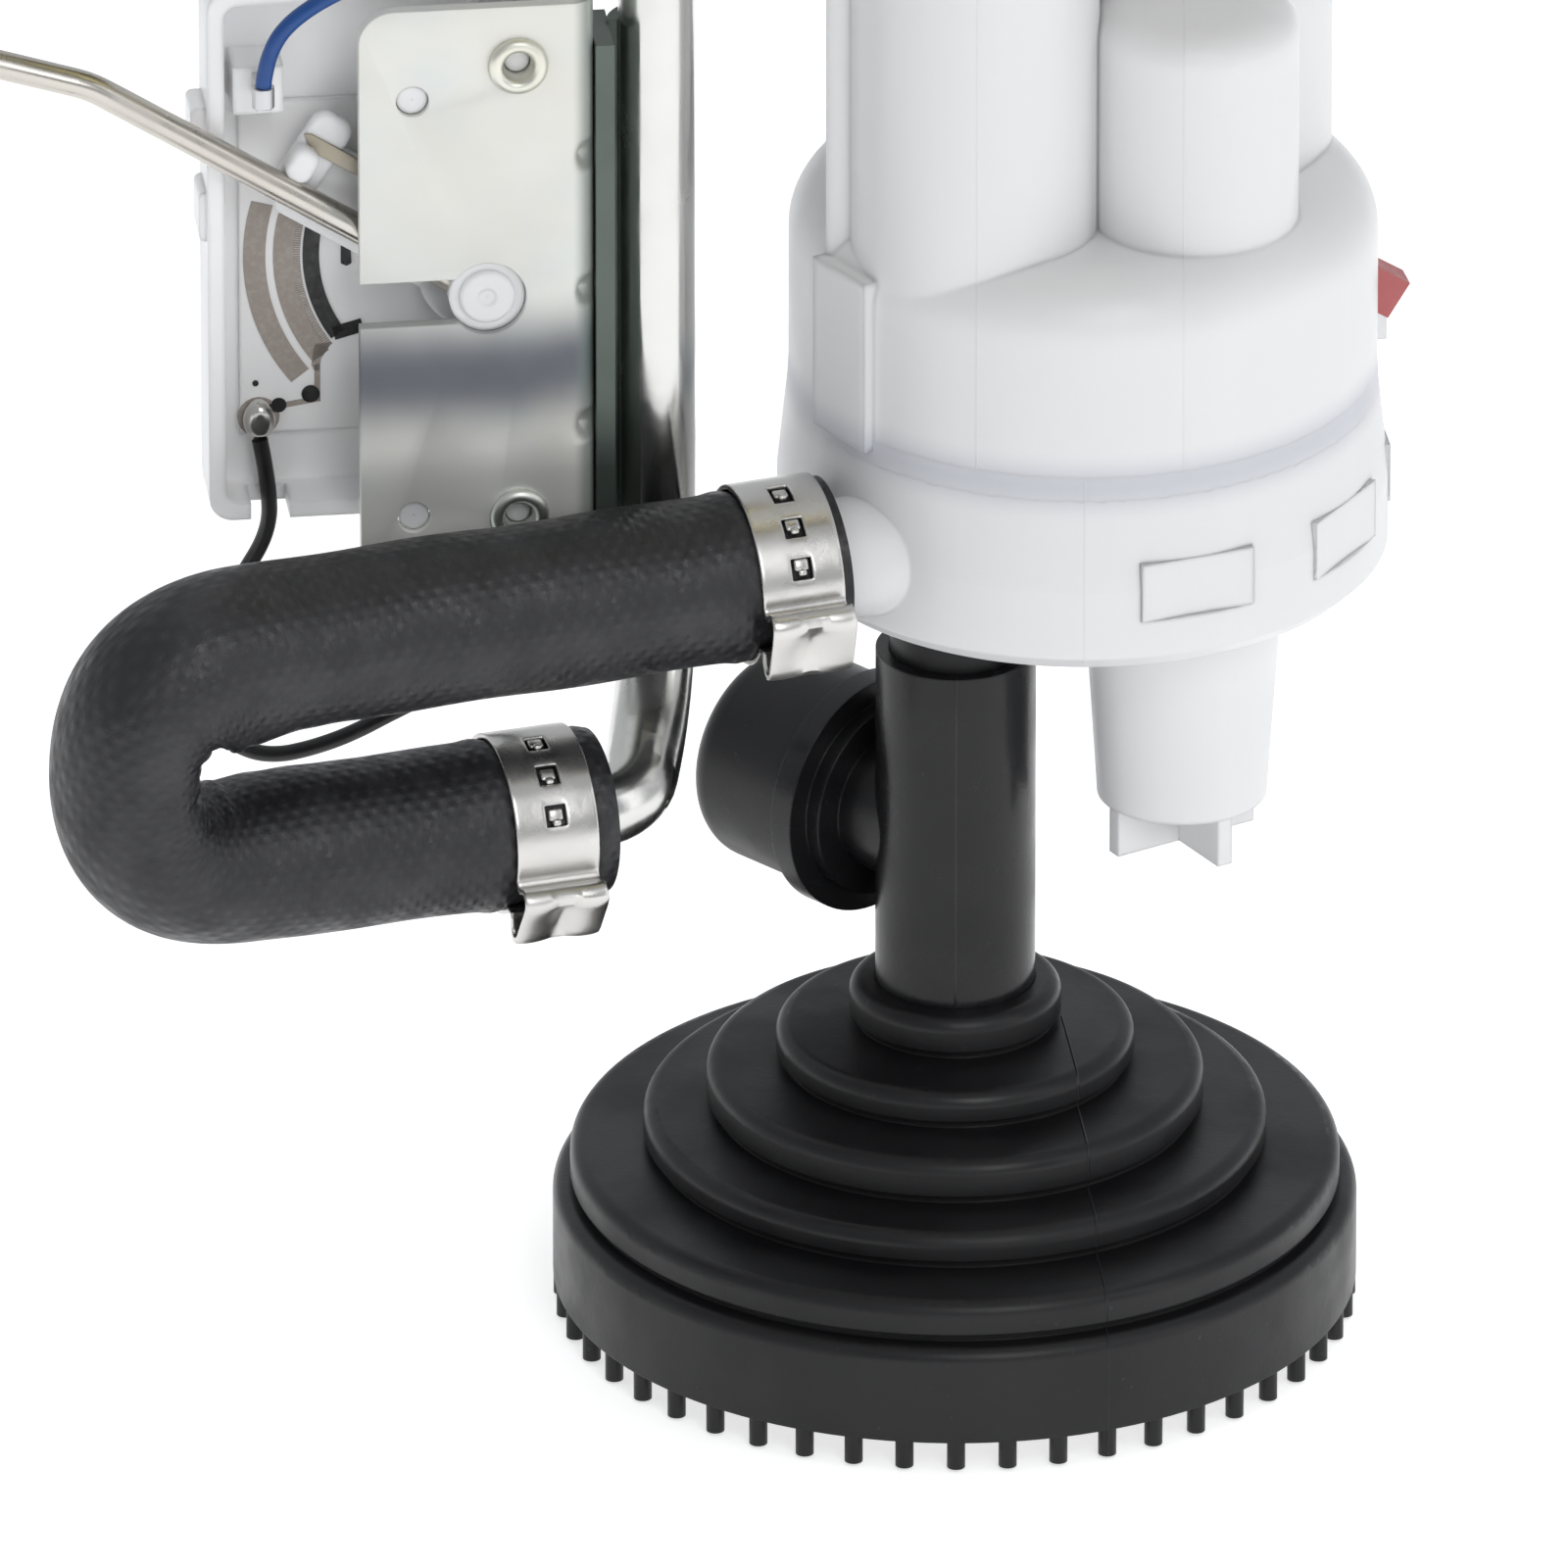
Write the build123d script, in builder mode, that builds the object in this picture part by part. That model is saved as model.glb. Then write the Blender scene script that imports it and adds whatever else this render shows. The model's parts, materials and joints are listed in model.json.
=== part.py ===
"""In-tank fuel pump and level-sender module of a vehicle.

A steel flange closes the tank opening. Below it hang the sender with its float arm, the bent
return tube and moulded hose, the white pump reservoir, and the black pick-up foot.
Millimetres, +Z up. The origin is the centre of the gasket face that seals on the tank.
"""
import os
from math import atan2, cos, degrees, pi, radians, sin, tan

from build123d import *

os.makedirs("parts", exist_ok=True)

UP = (Align.CENTER, Align.CENTER, Align.MIN)
DOWN = (Align.CENTER, Align.CENTER, Align.MAX)

# ---------------------------------------------------------------- flange
gasket_height = 3.0
gasket_inner_radius = 50.0
flange_radius = 65.0
flange_sheet = 1.8
flange_dish_radius = 46.0
flange_dish_rise = 7.0
flange_top = gasket_height + flange_sheet + flange_dish_rise

connector_x, connector_y = -18.0, 26.0

# ---------------------------------------------------------------- fuel tubes
tube_radius = 3.97
tube_bore = 3.2
tube_stub_top = 44.0
tube_bead_radius = 4.9
stub_tip = 10.0
return_x, return_y = -23.2, -7.0

# ---------------------------------------------------------------- pump reservoir
base_x, base_y = 20.7, 6.0
base_bottom = -141.0
base_radius = 30.4
skirt_radius = 31.6
skirt_top = -122.2
skirt_full_width_z = -132.0
shoulder_top = -98.2
shoulder_round = 6.5
lip_inner_radius = 27.0
lip_outer_radius = 28.7
wall = 2.0
tower_top = -34.0

pickup_chamber_x, pickup_chamber_y = 9.4, -7.0
pickup_chamber_radius = 12.8
pickup_chamber_bore = 11.2

pump_x, pump_y = 27.8, 15.6
pump_tower_radius = 18.6
pump_tower_bore = 16.6

dome_x, dome_y = 32.0, -5.7
dome_radius = 10.7
dome_top = -74.0
valve_x, valve_y = 32.5, -8.2
valve_bore = 6.5

cup_x, cup_y = 31.0, -5.7
cup_bottom = -163.6
fin_bottom = -169.0
check_pocket_bottom = -166.1

window_azimuths = (-68, -30, 8, 46, 84)
window_width = 12.5
window_height = 6.5
window_z = -132.2

terminal_azimuth = 12
terminal_bottom = -120.6
terminal_height = 4.6
boot_lean = 32

# ---------------------------------------------------------------- pick-up stem and foot
stem_x, stem_y = 7.6, -4.0
stem_radius = 8.3
stem_bore = 6.9
stem_rim = -148.1
foot_tiers = ((11.0, -185.6), (18.6, -190.5), (25.8, -194.8), (32.4, -199.9), (40.0, -204.1))
foot_skirt_radius = 41.8
foot_skirt_top = -208.8
foot_skirt_bottom = -219.3
foot_pin_radius = 0.95
foot_pin_length = 3.1
foot_pin_count = 48

drum_z = -168.8
drum_axis = Vector(-1, 1, 0).normalized()
drum_ring_reach = 12.9
drum_ring_radius = 12.8
drum_radius = 11.5
drum_length = 14.0

# ---------------------------------------------------------------- moulded return hose
hose_turn = 18.0
hose_radius = 8.75
hose_bore = 4.0
hose_end = Vector(-5.6, -16.25, -132.6)
hose_upper_run = 63.2
hose_fall = 1.0
hose_bend_radius = 11.75
hose_lower_run = 38.0
clamp_width = 8.8
upper_ear_angle, lower_ear_angle = 288, 304
slot_angles = (190, 218, 245)

# ---------------------------------------------------------------- level sender
sender_turn = 7.0
pivot = Vector(-40.6, -14.3, -103.5)
bracket_sheet = 1.5
bracket_left, bracket_fold = -13.2, 11.2
bracket_top, bracket_bottom = 32.7, -32.0
eyelet_x = 3.2
eyelet_heights = (26.1, -24.7)
frame_left, frame_right = -28.3, 8.4
frame_top, frame_bottom = 33.7, -26.0
frame_front, frame_back = -4.4, -12.0
card_face = -9.0
arm_radius = 1.5
arm_depth = -2.6
arm_start = (0.9, -1.7)
arm_elbow = (-40.5, 24.7)
arm_outer_rise = 17.6
arm_outer_reach = 92.0
arm_tail = 54.0
terminal_place = (-23.0, 22.4)
solder_place = (-22.7, -16.5)
float_radius = 12.5
float_length = 44.0

# ---------------------------------------------------------------- wiring
wire_radius = 0.85


def upright(x, y):
    """Half-plane through a vertical axis: sketch x is the radius, sketch y is the height."""
    return Plane(origin=(x, y, 0), x_dir=(1, 0, 0), z_dir=(0, -1, 0))


def turned(points, x, y, mode=Mode.ADD):
    """Revolve a closed outline of (radius, height) points about the upright axis at x, y."""
    with BuildSketch(upright(x, y)) as outline:
        with BuildLine():
            Polyline(*points, close=True)
        make_face()
    revolve(outline.sketch, axis=Axis((x, y, 0), (0, 0, 1)), mode=mode)


def ring(x, y, outer, inner, bottom, top):
    """A plain upright tube."""
    turned([(inner, bottom), (outer, bottom), (outer, top), (inner, top)], x, y)


def stub_bead(x, y):
    """The retaining bead near the free end of a tube stub."""
    bead_top = tube_stub_top - stub_tip
    turned([(tube_radius - 0.4, bead_top - 3), (tube_bead_radius, bead_top - 2), (tube_bead_radius, bead_top - 0.6),
            (tube_radius, bead_top), (tube_radius - 0.4, bead_top)], x, y)


def save(part, name):
    """Label a finished piece and write its STEP file."""
    part.label = name
    export_step(part, f"parts/{name}.step")


def route_radii(points):
    """One bend radius for each inner point: 0.45 of the shorter run over the tangent of half the turn."""
    radii = []
    for before, here, after in zip(points, points[1:], points[2:]):
        run_in = Vector(*here) - Vector(*before)
        run_out = Vector(*after) - Vector(*here)
        half_turn = radians(run_in.get_angle(run_out)) / 2
        radii.append(0.45 * min(run_in.length, run_out.length) / tan(half_turn))
    return radii


def report_route(name, points, radii, solid, radius):
    """Print a cord's bend radii, its length, and how its volume compares with section times length."""
    with BuildLine() as path:
        FilletPolyline(*points, radius=radii)
    length = path.wires()[0].length
    ratio = solid.volume / (pi * radius**2 * length)
    rounded = [round(value, 1) for value in radii]
    print(f"{name}: length {length:.1f} mm, radii {rounded}, volume ratio {ratio:.3f}")


# ================================================================ flange group
with BuildPart() as flange_gasket:
    ring(0, 0, flange_radius - 3, gasket_inner_radius, 0, gasket_height)
    bead_radius = (flange_radius - 3 + gasket_inner_radius) / 2
    turned([(bead_radius - 1.5, 1), (bead_radius + 1.5, 1), (bead_radius + 1.5, gasket_height),
            (bead_radius - 1.5, gasket_height)], 0, 0)
save(flange_gasket.part, "flange_gasket")

with BuildPart() as mounting_flange:
    rim_under = gasket_height
    rim_over = gasket_height + flange_sheet
    turned([(0, flange_top - flange_sheet), (flange_dish_radius - 2, flange_top - flange_sheet),
            (flange_dish_radius + 2, rim_under), (flange_radius, rim_under), (flange_radius, rim_over),
            (flange_dish_radius + 3, rim_over), (flange_dish_radius - 1, flange_top), (0, flange_top)], 0, 0)
    with PolarLocations(flange_radius - 1, 3, start_angle=30):
        Box(8, 12, flange_sheet + 6, mode=Mode.SUBTRACT)
    with Locations((return_x, return_y, 0), (pump_x, pump_y, 0)):
        Cylinder(tube_radius, 60, mode=Mode.SUBTRACT)
    with Locations((connector_x, connector_y, 0)):
        Box(22, 12, 60, mode=Mode.SUBTRACT)
save(mounting_flange.part, "mounting_flange")

with BuildPart() as connector_body:
    with Locations((connector_x, connector_y, flange_top)):
        Box(26, 16, 2, align=UP)
    with Locations((connector_x, connector_y, flange_top + 2)):
        Box(23, 13, 16, align=UP)
    fillet(connector_body.edges().filter_by(Axis.Z), 2)
    with Locations((connector_x, connector_y, flange_top + 5)):
        Box(19.4, 9.4, 20, align=UP, mode=Mode.SUBTRACT)
    with Locations((connector_x, connector_y, -6)):
        Box(21.8, 11.8, 6 + flange_top, align=UP)
    with Locations((connector_x, connector_y - 7.2, flange_top + 10)):
        Box(6, 1.6, 5)
    for step in range(4):
        with Locations((connector_x - 7.5 + 5 * step, connector_y, 0)):
            Box(1.6, 1.6, 60, mode=Mode.SUBTRACT)
save(connector_body.part, "connector_body")

with BuildPart() as connector_pins:
    for step in range(4):
        with Locations((connector_x - 7.5 + 5 * step, connector_y, -5.9)):
            Box(1.5, 1.5, 5.9 + flange_top + 14, align=UP)
save(connector_pins.part, "connector_pins")

# ================================================================ return tube, bracket and sender
hose_dir = Vector(cos(radians(hose_turn)), sin(radians(hose_turn)), 0)
hose_plane = Plane(origin=hose_end, x_dir=hose_dir, z_dir=(sin(radians(hose_turn)), -cos(radians(hose_turn)), 0))
upper_dir = Vector(hose_dir.X * cos(radians(hose_fall)), hose_dir.Y * cos(radians(hose_fall)), sin(radians(hose_fall)))
lower_z = hose_end.Z - hose_upper_run * tan(radians(hose_fall)) - 2 * hose_bend_radius
lower_end = hose_end + hose_dir * (hose_lower_run - hose_upper_run - hose_bend_radius * sin(radians(hose_fall)))
lower_end = Vector(lower_end.X, lower_end.Y, lower_z)
tube_insert = 16.0
tube_rise = 6.0
hose_entry = lower_end + hose_dir * 4.4
return_route = [
    (return_x, return_y, tube_stub_top),
    (return_x, return_y, lower_z + tube_rise),
    tuple(hose_entry),
    tuple(lower_end - hose_dir * tube_insert),
]


def route_tube(points, radii, radius, bore):
    """Sweep a round tube along straight runs joined by tangent arcs."""
    with BuildLine() as path:
        FilletPolyline(*points, radius=radii)
    start = Vector(*points[0])
    section = Plane(origin=start, z_dir=Vector(*points[1]) - start)
    with BuildSketch(section) as outer:
        Circle(radius)
    sweep(outer.sketch, path=path.wires()[0])
    if bore:
        with BuildSketch(section) as inner:
            Circle(bore)
        sweep(inner.sketch, path=path.wires()[0], mode=Mode.SUBTRACT)


with BuildPart() as return_tube:
    route_tube(return_route, [15.0, 6.5], tube_radius, tube_bore)
    stub_bead(return_x, return_y)
save(return_tube.part, "return_tube")

with BuildPart() as supply_tube:
    ring(pump_x, pump_y, tube_radius, tube_bore, -15, tube_stub_top)
    stub_bead(pump_x, pump_y)
save(supply_tube.part, "supply_tube")

across = Vector(cos(radians(sender_turn)), sin(radians(sender_turn)), 0)
toward = Vector(sin(radians(sender_turn)), -cos(radians(sender_turn)), 0)


def sender_face(depth):
    """Sketch plane of the sender: x along the bracket, y up, at a depth (negative is behind the plate)."""
    return Plane(origin=pivot + toward * depth, x_dir=across, z_dir=toward)


def sender_point(x, y, depth):
    """A point of the sender in the frame of the whole module."""
    place = pivot + across * x + toward * depth
    return (place.X, place.Y, place.Z + y)


with BuildPart() as sender_bracket:
    half_sheet = bracket_sheet / 2
    with BuildSketch(sender_face(-half_sheet)):
        with BuildLine():
            Polyline((bracket_left, bracket_bottom), (bracket_fold, bracket_bottom),
                     (bracket_fold, bracket_top), (bracket_left, bracket_top), close=True)
        make_face()
    extrude(amount=bracket_sheet)
    with BuildSketch(sender_face(half_sheet)):
        with Locations((bracket_fold - half_sheet, 0)):
            Rectangle(bracket_sheet, bracket_top - bracket_bottom)
    extrude(amount=-(bracket_sheet + 6))
    corner = sender_bracket.edges().filter_by(lambda e: abs(abs(e.tangent_at(0).dot(toward)) - 1) < 0.01)
    outer_corners = corner.sort_by(lambda e: (e.center() - Vector(*sender_point(bracket_left, 0, 0))).dot(across))[:2]
    fillet(outer_corners, 3.5)
    with BuildSketch(sender_face(half_sheet)):
        Circle(4.0)
        with Locations(((bracket_left - 3) / 2, -0.2)):
            Rectangle(abs(bracket_left) + 3, 5.0)
        with Locations((eyelet_x, eyelet_heights[0]), (eyelet_x, eyelet_heights[1])):
            Circle(2.1)
        with Locations((-7.7, 22.6), (-7.7, -24.3)):
            Circle(1.7)
    extrude(amount=-2 * bracket_sheet, mode=Mode.SUBTRACT)
save(sender_bracket.part, "sender_bracket")

with BuildPart() as tube_saddle:
    saddle_gap = 0.02
    with Locations((return_x, return_y, pivot.Z - 0.2)):
        Cylinder(tube_radius + saddle_gap + 1.2, 56)
        Cylinder(tube_radius + saddle_gap, 57, mode=Mode.SUBTRACT)
        with Locations((7, 0, 0)):
            Box(12, 20, 57, mode=Mode.SUBTRACT)
        with Locations((0, -6, 0)):
            Box(14, 12, 57, mode=Mode.SUBTRACT)
    with BuildSketch(sender_face(0)):
        with Locations((bracket_fold + 1.05, 0)):
            Rectangle(2.0, 55)
    extrude(amount=-9)
save(tube_saddle.part, "tube_saddle")

with BuildPart() as eyelet_rivets:
    for height in eyelet_heights:
        with BuildSketch(sender_face(half_sheet)):
            with Locations((eyelet_x, height)):
                Circle(3.0)
                Circle(1.3, mode=Mode.SUBTRACT)
        extrude(amount=0.8)
        with BuildSketch(sender_face(half_sheet)):
            with Locations((eyelet_x, height)):
                Circle(2.05)
                Circle(1.3, mode=Mode.SUBTRACT)
        extrude(amount=-5)
save(eyelet_rivets.part, "eyelet_rivets")

frame_wall = 1.8
with BuildPart() as sender_frame:
    frame_mid = ((frame_left + frame_right) / 2, (frame_top + frame_bottom) / 2)
    frame_width = frame_right - frame_left
    frame_height = frame_top - frame_bottom
    with BuildSketch(sender_face(frame_back)):
        with Locations(frame_mid):
            RectangleRounded(frame_width, frame_height, 2.5)
    extrude(amount=frame_front - frame_back)
    with BuildSketch(sender_face(frame_front)):
        with Locations(frame_mid):
            RectangleRounded(frame_width - 2 * frame_wall, frame_height - 2 * frame_wall, 1.5)
    extrude(amount=-(frame_front - card_face) - 0.8, mode=Mode.SUBTRACT)
    for hook in (-25.0, -18.5, -9.0, 2.0):
        with BuildSketch(sender_face(frame_front - 1)):
            with Locations((hook, frame_top + 0.8)):
                RectangleRounded(3.6, 3.2, 1.0)
        extrude(amount=-5)
    for height, depth in ((8.0, 0.8), (17.5, 1.6)):
        with BuildSketch(sender_face(frame_front - 1)):
            with Locations((frame_left, height)):
                RectangleRounded(2 * depth, 5.5, 0.7)
        extrude(amount=-5)
    with BuildSketch(sender_face(frame_front)):
        with Locations((-22.0, frame_bottom)):
            Rectangle(4.0, 2.2 * frame_wall)
    extrude(amount=card_face - frame_front, mode=Mode.SUBTRACT)
    for height in eyelet_heights:
        with BuildSketch(sender_face(-half_sheet - 0.02)):
            with Locations((eyelet_x, height)):
                Circle(3.8)
        extrude(amount=-9)
        with BuildSketch(sender_face(-half_sheet)):
            with Locations((eyelet_x, height)):
                Circle(2.1)
        extrude(amount=-6, mode=Mode.SUBTRACT)
    with BuildSketch(sender_face(frame_back)):
        Circle(5.0)
    extrude(amount=3.0)
    with BuildSketch(sender_face(frame_back)):
        Circle(2.05)
    extrude(amount=6, mode=Mode.SUBTRACT)
    with BuildSketch(sender_face(frame_front)):
        with Locations(terminal_place):
            Rectangle(5.2, 5.2)
    extrude(amount=card_face - frame_front - 1)
save(sender_frame.part, "sender_frame")

card_thickness = 0.78
with BuildPart() as resistor_card:
    with BuildSketch(sender_face(card_face)):
        with Locations((-9.1, 0.3)):
            Rectangle(31.0, 37.4)
        Circle(5.1, mode=Mode.SUBTRACT)
    extrude(amount=-card_thickness)
save(resistor_card.part, "resistor_card")


with BuildPart() as resistor_tracks:
    for inner, outer, start, end in ((20.4, 23.4, 165, 216), (17.8, 19.4, 164, 217), (16.1, 17.5, 166, 208)):
        with BuildSketch(sender_face(card_face)):
            with BuildLine():
                outer_arc = CenterArc((0, 0), outer, start, end - start)
                inner_arc = CenterArc((0, 0), inner, start, end - start)
                Line(outer_arc @ 0, inner_arc @ 0)
                Line(outer_arc @ 1, inner_arc @ 1)
            make_face()
        extrude(amount=0.1)
save(resistor_tracks.part, "resistor_tracks")

with BuildPart() as solder_joint:
    with BuildSketch(sender_face(card_face)):
        with Locations(solder_place):
            Ellipse(1.7, 2.1)
    extrude(amount=1.9)
    fillet(solder_joint.faces().sort_by(lambda f: f.center().dot(toward))[-1].edges(), 1.1)
save(solder_joint.part, "solder_joint")

with BuildPart() as signal_terminal:
    with BuildSketch(sender_face(frame_front)):
        with Locations((terminal_place[0], terminal_place[1] + 1)):
            Rectangle(1.4, 2.2)
    extrude(amount=5.4)
    with BuildSketch(Plane(origin=Vector(*sender_point(terminal_place[0], terminal_place[1] + 0.4, 0.4)))):
        Circle(1.15)
    extrude(amount=2.2)
save(signal_terminal.part, "signal_terminal")

# ---------------------------------------------------------------- float arm group
elbow = Vector(*sender_point(*arm_elbow, arm_depth))
arm_end = (arm_elbow[0] - arm_outer_reach * cos(radians(arm_outer_rise)),
           arm_elbow[1] + arm_outer_reach * sin(radians(arm_outer_rise)))
arm_route = [
    sender_point(*arm_start, arm_depth),
    sender_point(*arm_elbow, arm_depth),
    sender_point(*arm_end, arm_depth),
    sender_point(*arm_end, arm_depth - arm_tail),
]
with BuildPart() as float_arm:
    route_tube(arm_route, [12.0, 4.0], arm_radius, 0)
save(float_arm.part, "float_arm")

hub_radius = 3.92
pin_radius = 2.0
with BuildPart() as arm_hub:
    with BuildSketch(sender_face(-0.1)):
        Circle(hub_radius)
    extrude(amount=-4.8)
    with BuildSketch(sender_face(-4.0)):
        Circle(pin_radius)
    extrude(amount=-7.5)
    arm_run = Vector(*arm_route[1]) - Vector(*arm_route[0])
    with BuildSketch(Plane(origin=Vector(*arm_route[0]), z_dir=arm_run)):
        Circle(arm_radius)
    extrude(amount=12, mode=Mode.SUBTRACT)
save(arm_hub.part, "arm_hub")

arm_angle = 180 - degrees(atan2(arm_elbow[1] - arm_start[1], arm_start[0] - arm_elbow[0]))
with BuildPart() as wiper_carrier:
    with BuildSketch(sender_face(-8.2)):
        Circle(6.4)
        with Locations(Location((-10.5, 6.6, 0), (0, 0, arm_angle))):
            Rectangle(22.0, 9.0)
        Circle(pin_radius, mode=Mode.SUBTRACT)
    extrude(amount=2.6)
    with BuildSketch(sender_face(-5.7)):
        with Locations(Location((-17.4, 14.6, 0), (0, 0, arm_angle))):
            Rectangle(4.6, 10.0)
    extrude(amount=1.58)
    with BuildSketch(sender_face(-4.2)):
        with Locations(Location((-16.4, 15.1, 0), (0, 0, arm_angle))):
            Rectangle(4.6, 4.0)
    extrude(amount=2.9)
    with BuildSketch(Plane(origin=Vector(*arm_route[0]), z_dir=arm_run)):
        Circle(arm_radius)
    extrude(amount=40, mode=Mode.SUBTRACT)
save(wiper_carrier.part, "wiper_carrier")

with BuildPart() as wiper_contact:
    with BuildSketch(sender_face(-8.62)):
        with Locations(Location((-13.5, 11.6, 0), (0, 0, arm_angle))):
            Rectangle(13.0, 3.0)
        with Locations(Location((-20.0, 9.5, 0), (0, 0, arm_angle))):
            Rectangle(2.4, 9.0)
    extrude(amount=0.4)
save(wiper_contact.part, "wiper_contact")

float_start = arm_depth - 5.6
float_place = Vector(*sender_point(*arm_end, 0))
with BuildPart() as float_body:
    with BuildSketch(Plane(origin=float_place + toward * float_start, x_dir=across, z_dir=toward)):
        Circle(float_radius)
        Circle(arm_radius + 0.06, mode=Mode.SUBTRACT)
    extrude(amount=-float_length)
    rims = float_body.edges().filter_by(GeomType.CIRCLE).filter_by(lambda e: e.radius > float_radius - 1)
    fillet(rims, 2.0)
save(float_body.part, "float")

with BuildPart() as float_retainers:
    for depth in (float_start + 0.4, float_start - float_length - 1.3):
        with BuildSketch(Plane(origin=float_place + toward * depth, x_dir=across, z_dir=toward)):
            Circle(3.4)
            Circle(arm_radius, mode=Mode.SUBTRACT)
        extrude(amount=0.9)
save(float_retainers.part, "float_retainers")

# ---------------------------------------------------------------- sender wiring
blue_route = [
    sender_point(terminal_place[0], terminal_place[1] + 2.66, 0.4),
    sender_point(terminal_place[0] + 0.4, terminal_place[1] + 6.6, 0.5),
    (-59.8, -17.6, -70.2),
    (-52.6, -16.6, -66.6),
    (-42.8, -11.6, -62.2),
    (-33.0, 0.5, -52.0),
    (-26.6, 12.0, -36.0),
    (-22.8, 21.0, -22.0),
    (-20.5, 26.0, -13.5),
    (-20.5, 26.4, -6.0),
]
blue_radii = route_radii(blue_route)
with BuildPart() as blue_wire:
    route_tube(blue_route, blue_radii, wire_radius, 0)
save(blue_wire.part, "blue_wire")
report_route("blue_wire", blue_route, blue_radii, blue_wire.part, wire_radius)

black_route = [
    sender_point(solder_place[0], solder_place[1] - 2.13, card_face + 1.1),
    (-63.3, -9.3, -126.4),
    (-63.0, -9.2, -132.3),
    (-66.4, -9.0, -138.4),
    (-70.3, -9.0, -145.6),
    (-70.4, -9.5, -153.4),
    (-64.8, -10.0, -158.3),
    (-56.6, -10.3, -156.2),
    (-48.8, -10.8, -151.4),
    (-42.0, -11.4, -147.8),
    (-38.1, -11.7, -142.9),
    sender_point(eyelet_x, bracket_bottom - 2.45, -2.2),
]
black_radii = route_radii(black_route)
with BuildPart() as black_wire:
    route_tube(black_route, black_radii, wire_radius, 0)
save(black_wire.part, "black_wire")
report_route("black_wire", black_route, black_radii, black_wire.part, wire_radius)

with BuildPart() as ground_terminal:
    with BuildSketch(sender_face(-half_sheet - 0.02)):
        with Locations((eyelet_x, bracket_bottom + 0.6)):
            Rectangle(2.4, 5.4)
    extrude(amount=-0.8)
    with BuildSketch(Plane(origin=Vector(*sender_point(eyelet_x, bracket_bottom - 2.4, -2.2)))):
        Circle(1.3)
    extrude(amount=3.4)
save(ground_terminal.part, "ground_terminal")

# ================================================================ moulded hose and its clamps
with BuildPart() as return_hose:
    with BuildLine(hose_plane) as hose_path:
        upper_leg = Line((0, 0), (-hose_upper_run, -hose_upper_run * tan(radians(hose_fall))))
        bend = JernArc(start=upper_leg @ 1, tangent=upper_leg % 1, radius=hose_bend_radius,
                       arc_size=180 - hose_fall)
        PolarLine(bend @ 1, hose_lower_run, angle=0)
    hose_section = Plane(origin=hose_end, z_dir=hose_path.wires()[0] % 0)
    with BuildSketch(hose_section) as hose_outside:
        Circle(hose_radius)
    sweep(hose_outside.sketch, path=hose_path.wires()[0])
    with BuildSketch(hose_section) as hose_inside:
        Circle(hose_bore)
    sweep(hose_inside.sketch, path=hose_path.wires()[0], mode=Mode.SUBTRACT)
save(return_hose.part, "return_hose")
print(f"return_hose: length {hose_path.wires()[0].length:.1f} mm")


def clamp_shape(middle, along, ear_angle):
    """Ear clamp: a slotted band with a pinched ear, around the hose at a point of its axis."""
    band_inner = hose_radius + 0.02
    band_outer = band_inner + 0.7
    down = Vector(0, 0, -1)
    face = Plane(origin=middle - along * (clamp_width / 2), x_dir=down, z_dir=along)
    with BuildSketch(face) as band:
        Circle(band_outer)
        Circle(band_inner, mode=Mode.SUBTRACT)
    extrude(band.sketch, amount=clamp_width)
    with BuildSketch(face) as ear:
        with Locations(Location((0, 0, 0), (0, 0, ear_angle))):
            with Locations((band_outer + 2.2, 0)):
                RectangleRounded(5.6, 8.0, 1.2)
                with Locations((-0.2, 0)):
                    RectangleRounded(4.0, 6.4, 0.8, mode=Mode.SUBTRACT)
        Circle(band_inner, mode=Mode.SUBTRACT)
    extrude(ear.sketch, amount=clamp_width)
    for angle in slot_angles:
        with BuildSketch(face.offset(clamp_width / 2 - 1.2)) as slot:
            with Locations(Location((0, 0, 0), (0, 0, angle))):
                with Locations((band_outer, 0)):
                    Rectangle(2.6, 2.6)
        extrude(slot.sketch, amount=2.4, mode=Mode.SUBTRACT)


with BuildPart() as upper_hose_clamp:
    clamp_shape(hose_end - upper_dir * 5.5, upper_dir, upper_ear_angle)
save(upper_hose_clamp.part, "upper_hose_clamp")

with BuildPart() as lower_hose_clamp:
    clamp_shape(lower_end - hose_dir * 6.9, hose_dir, lower_ear_angle)
save(lower_hose_clamp.part, "lower_hose_clamp")

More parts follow.
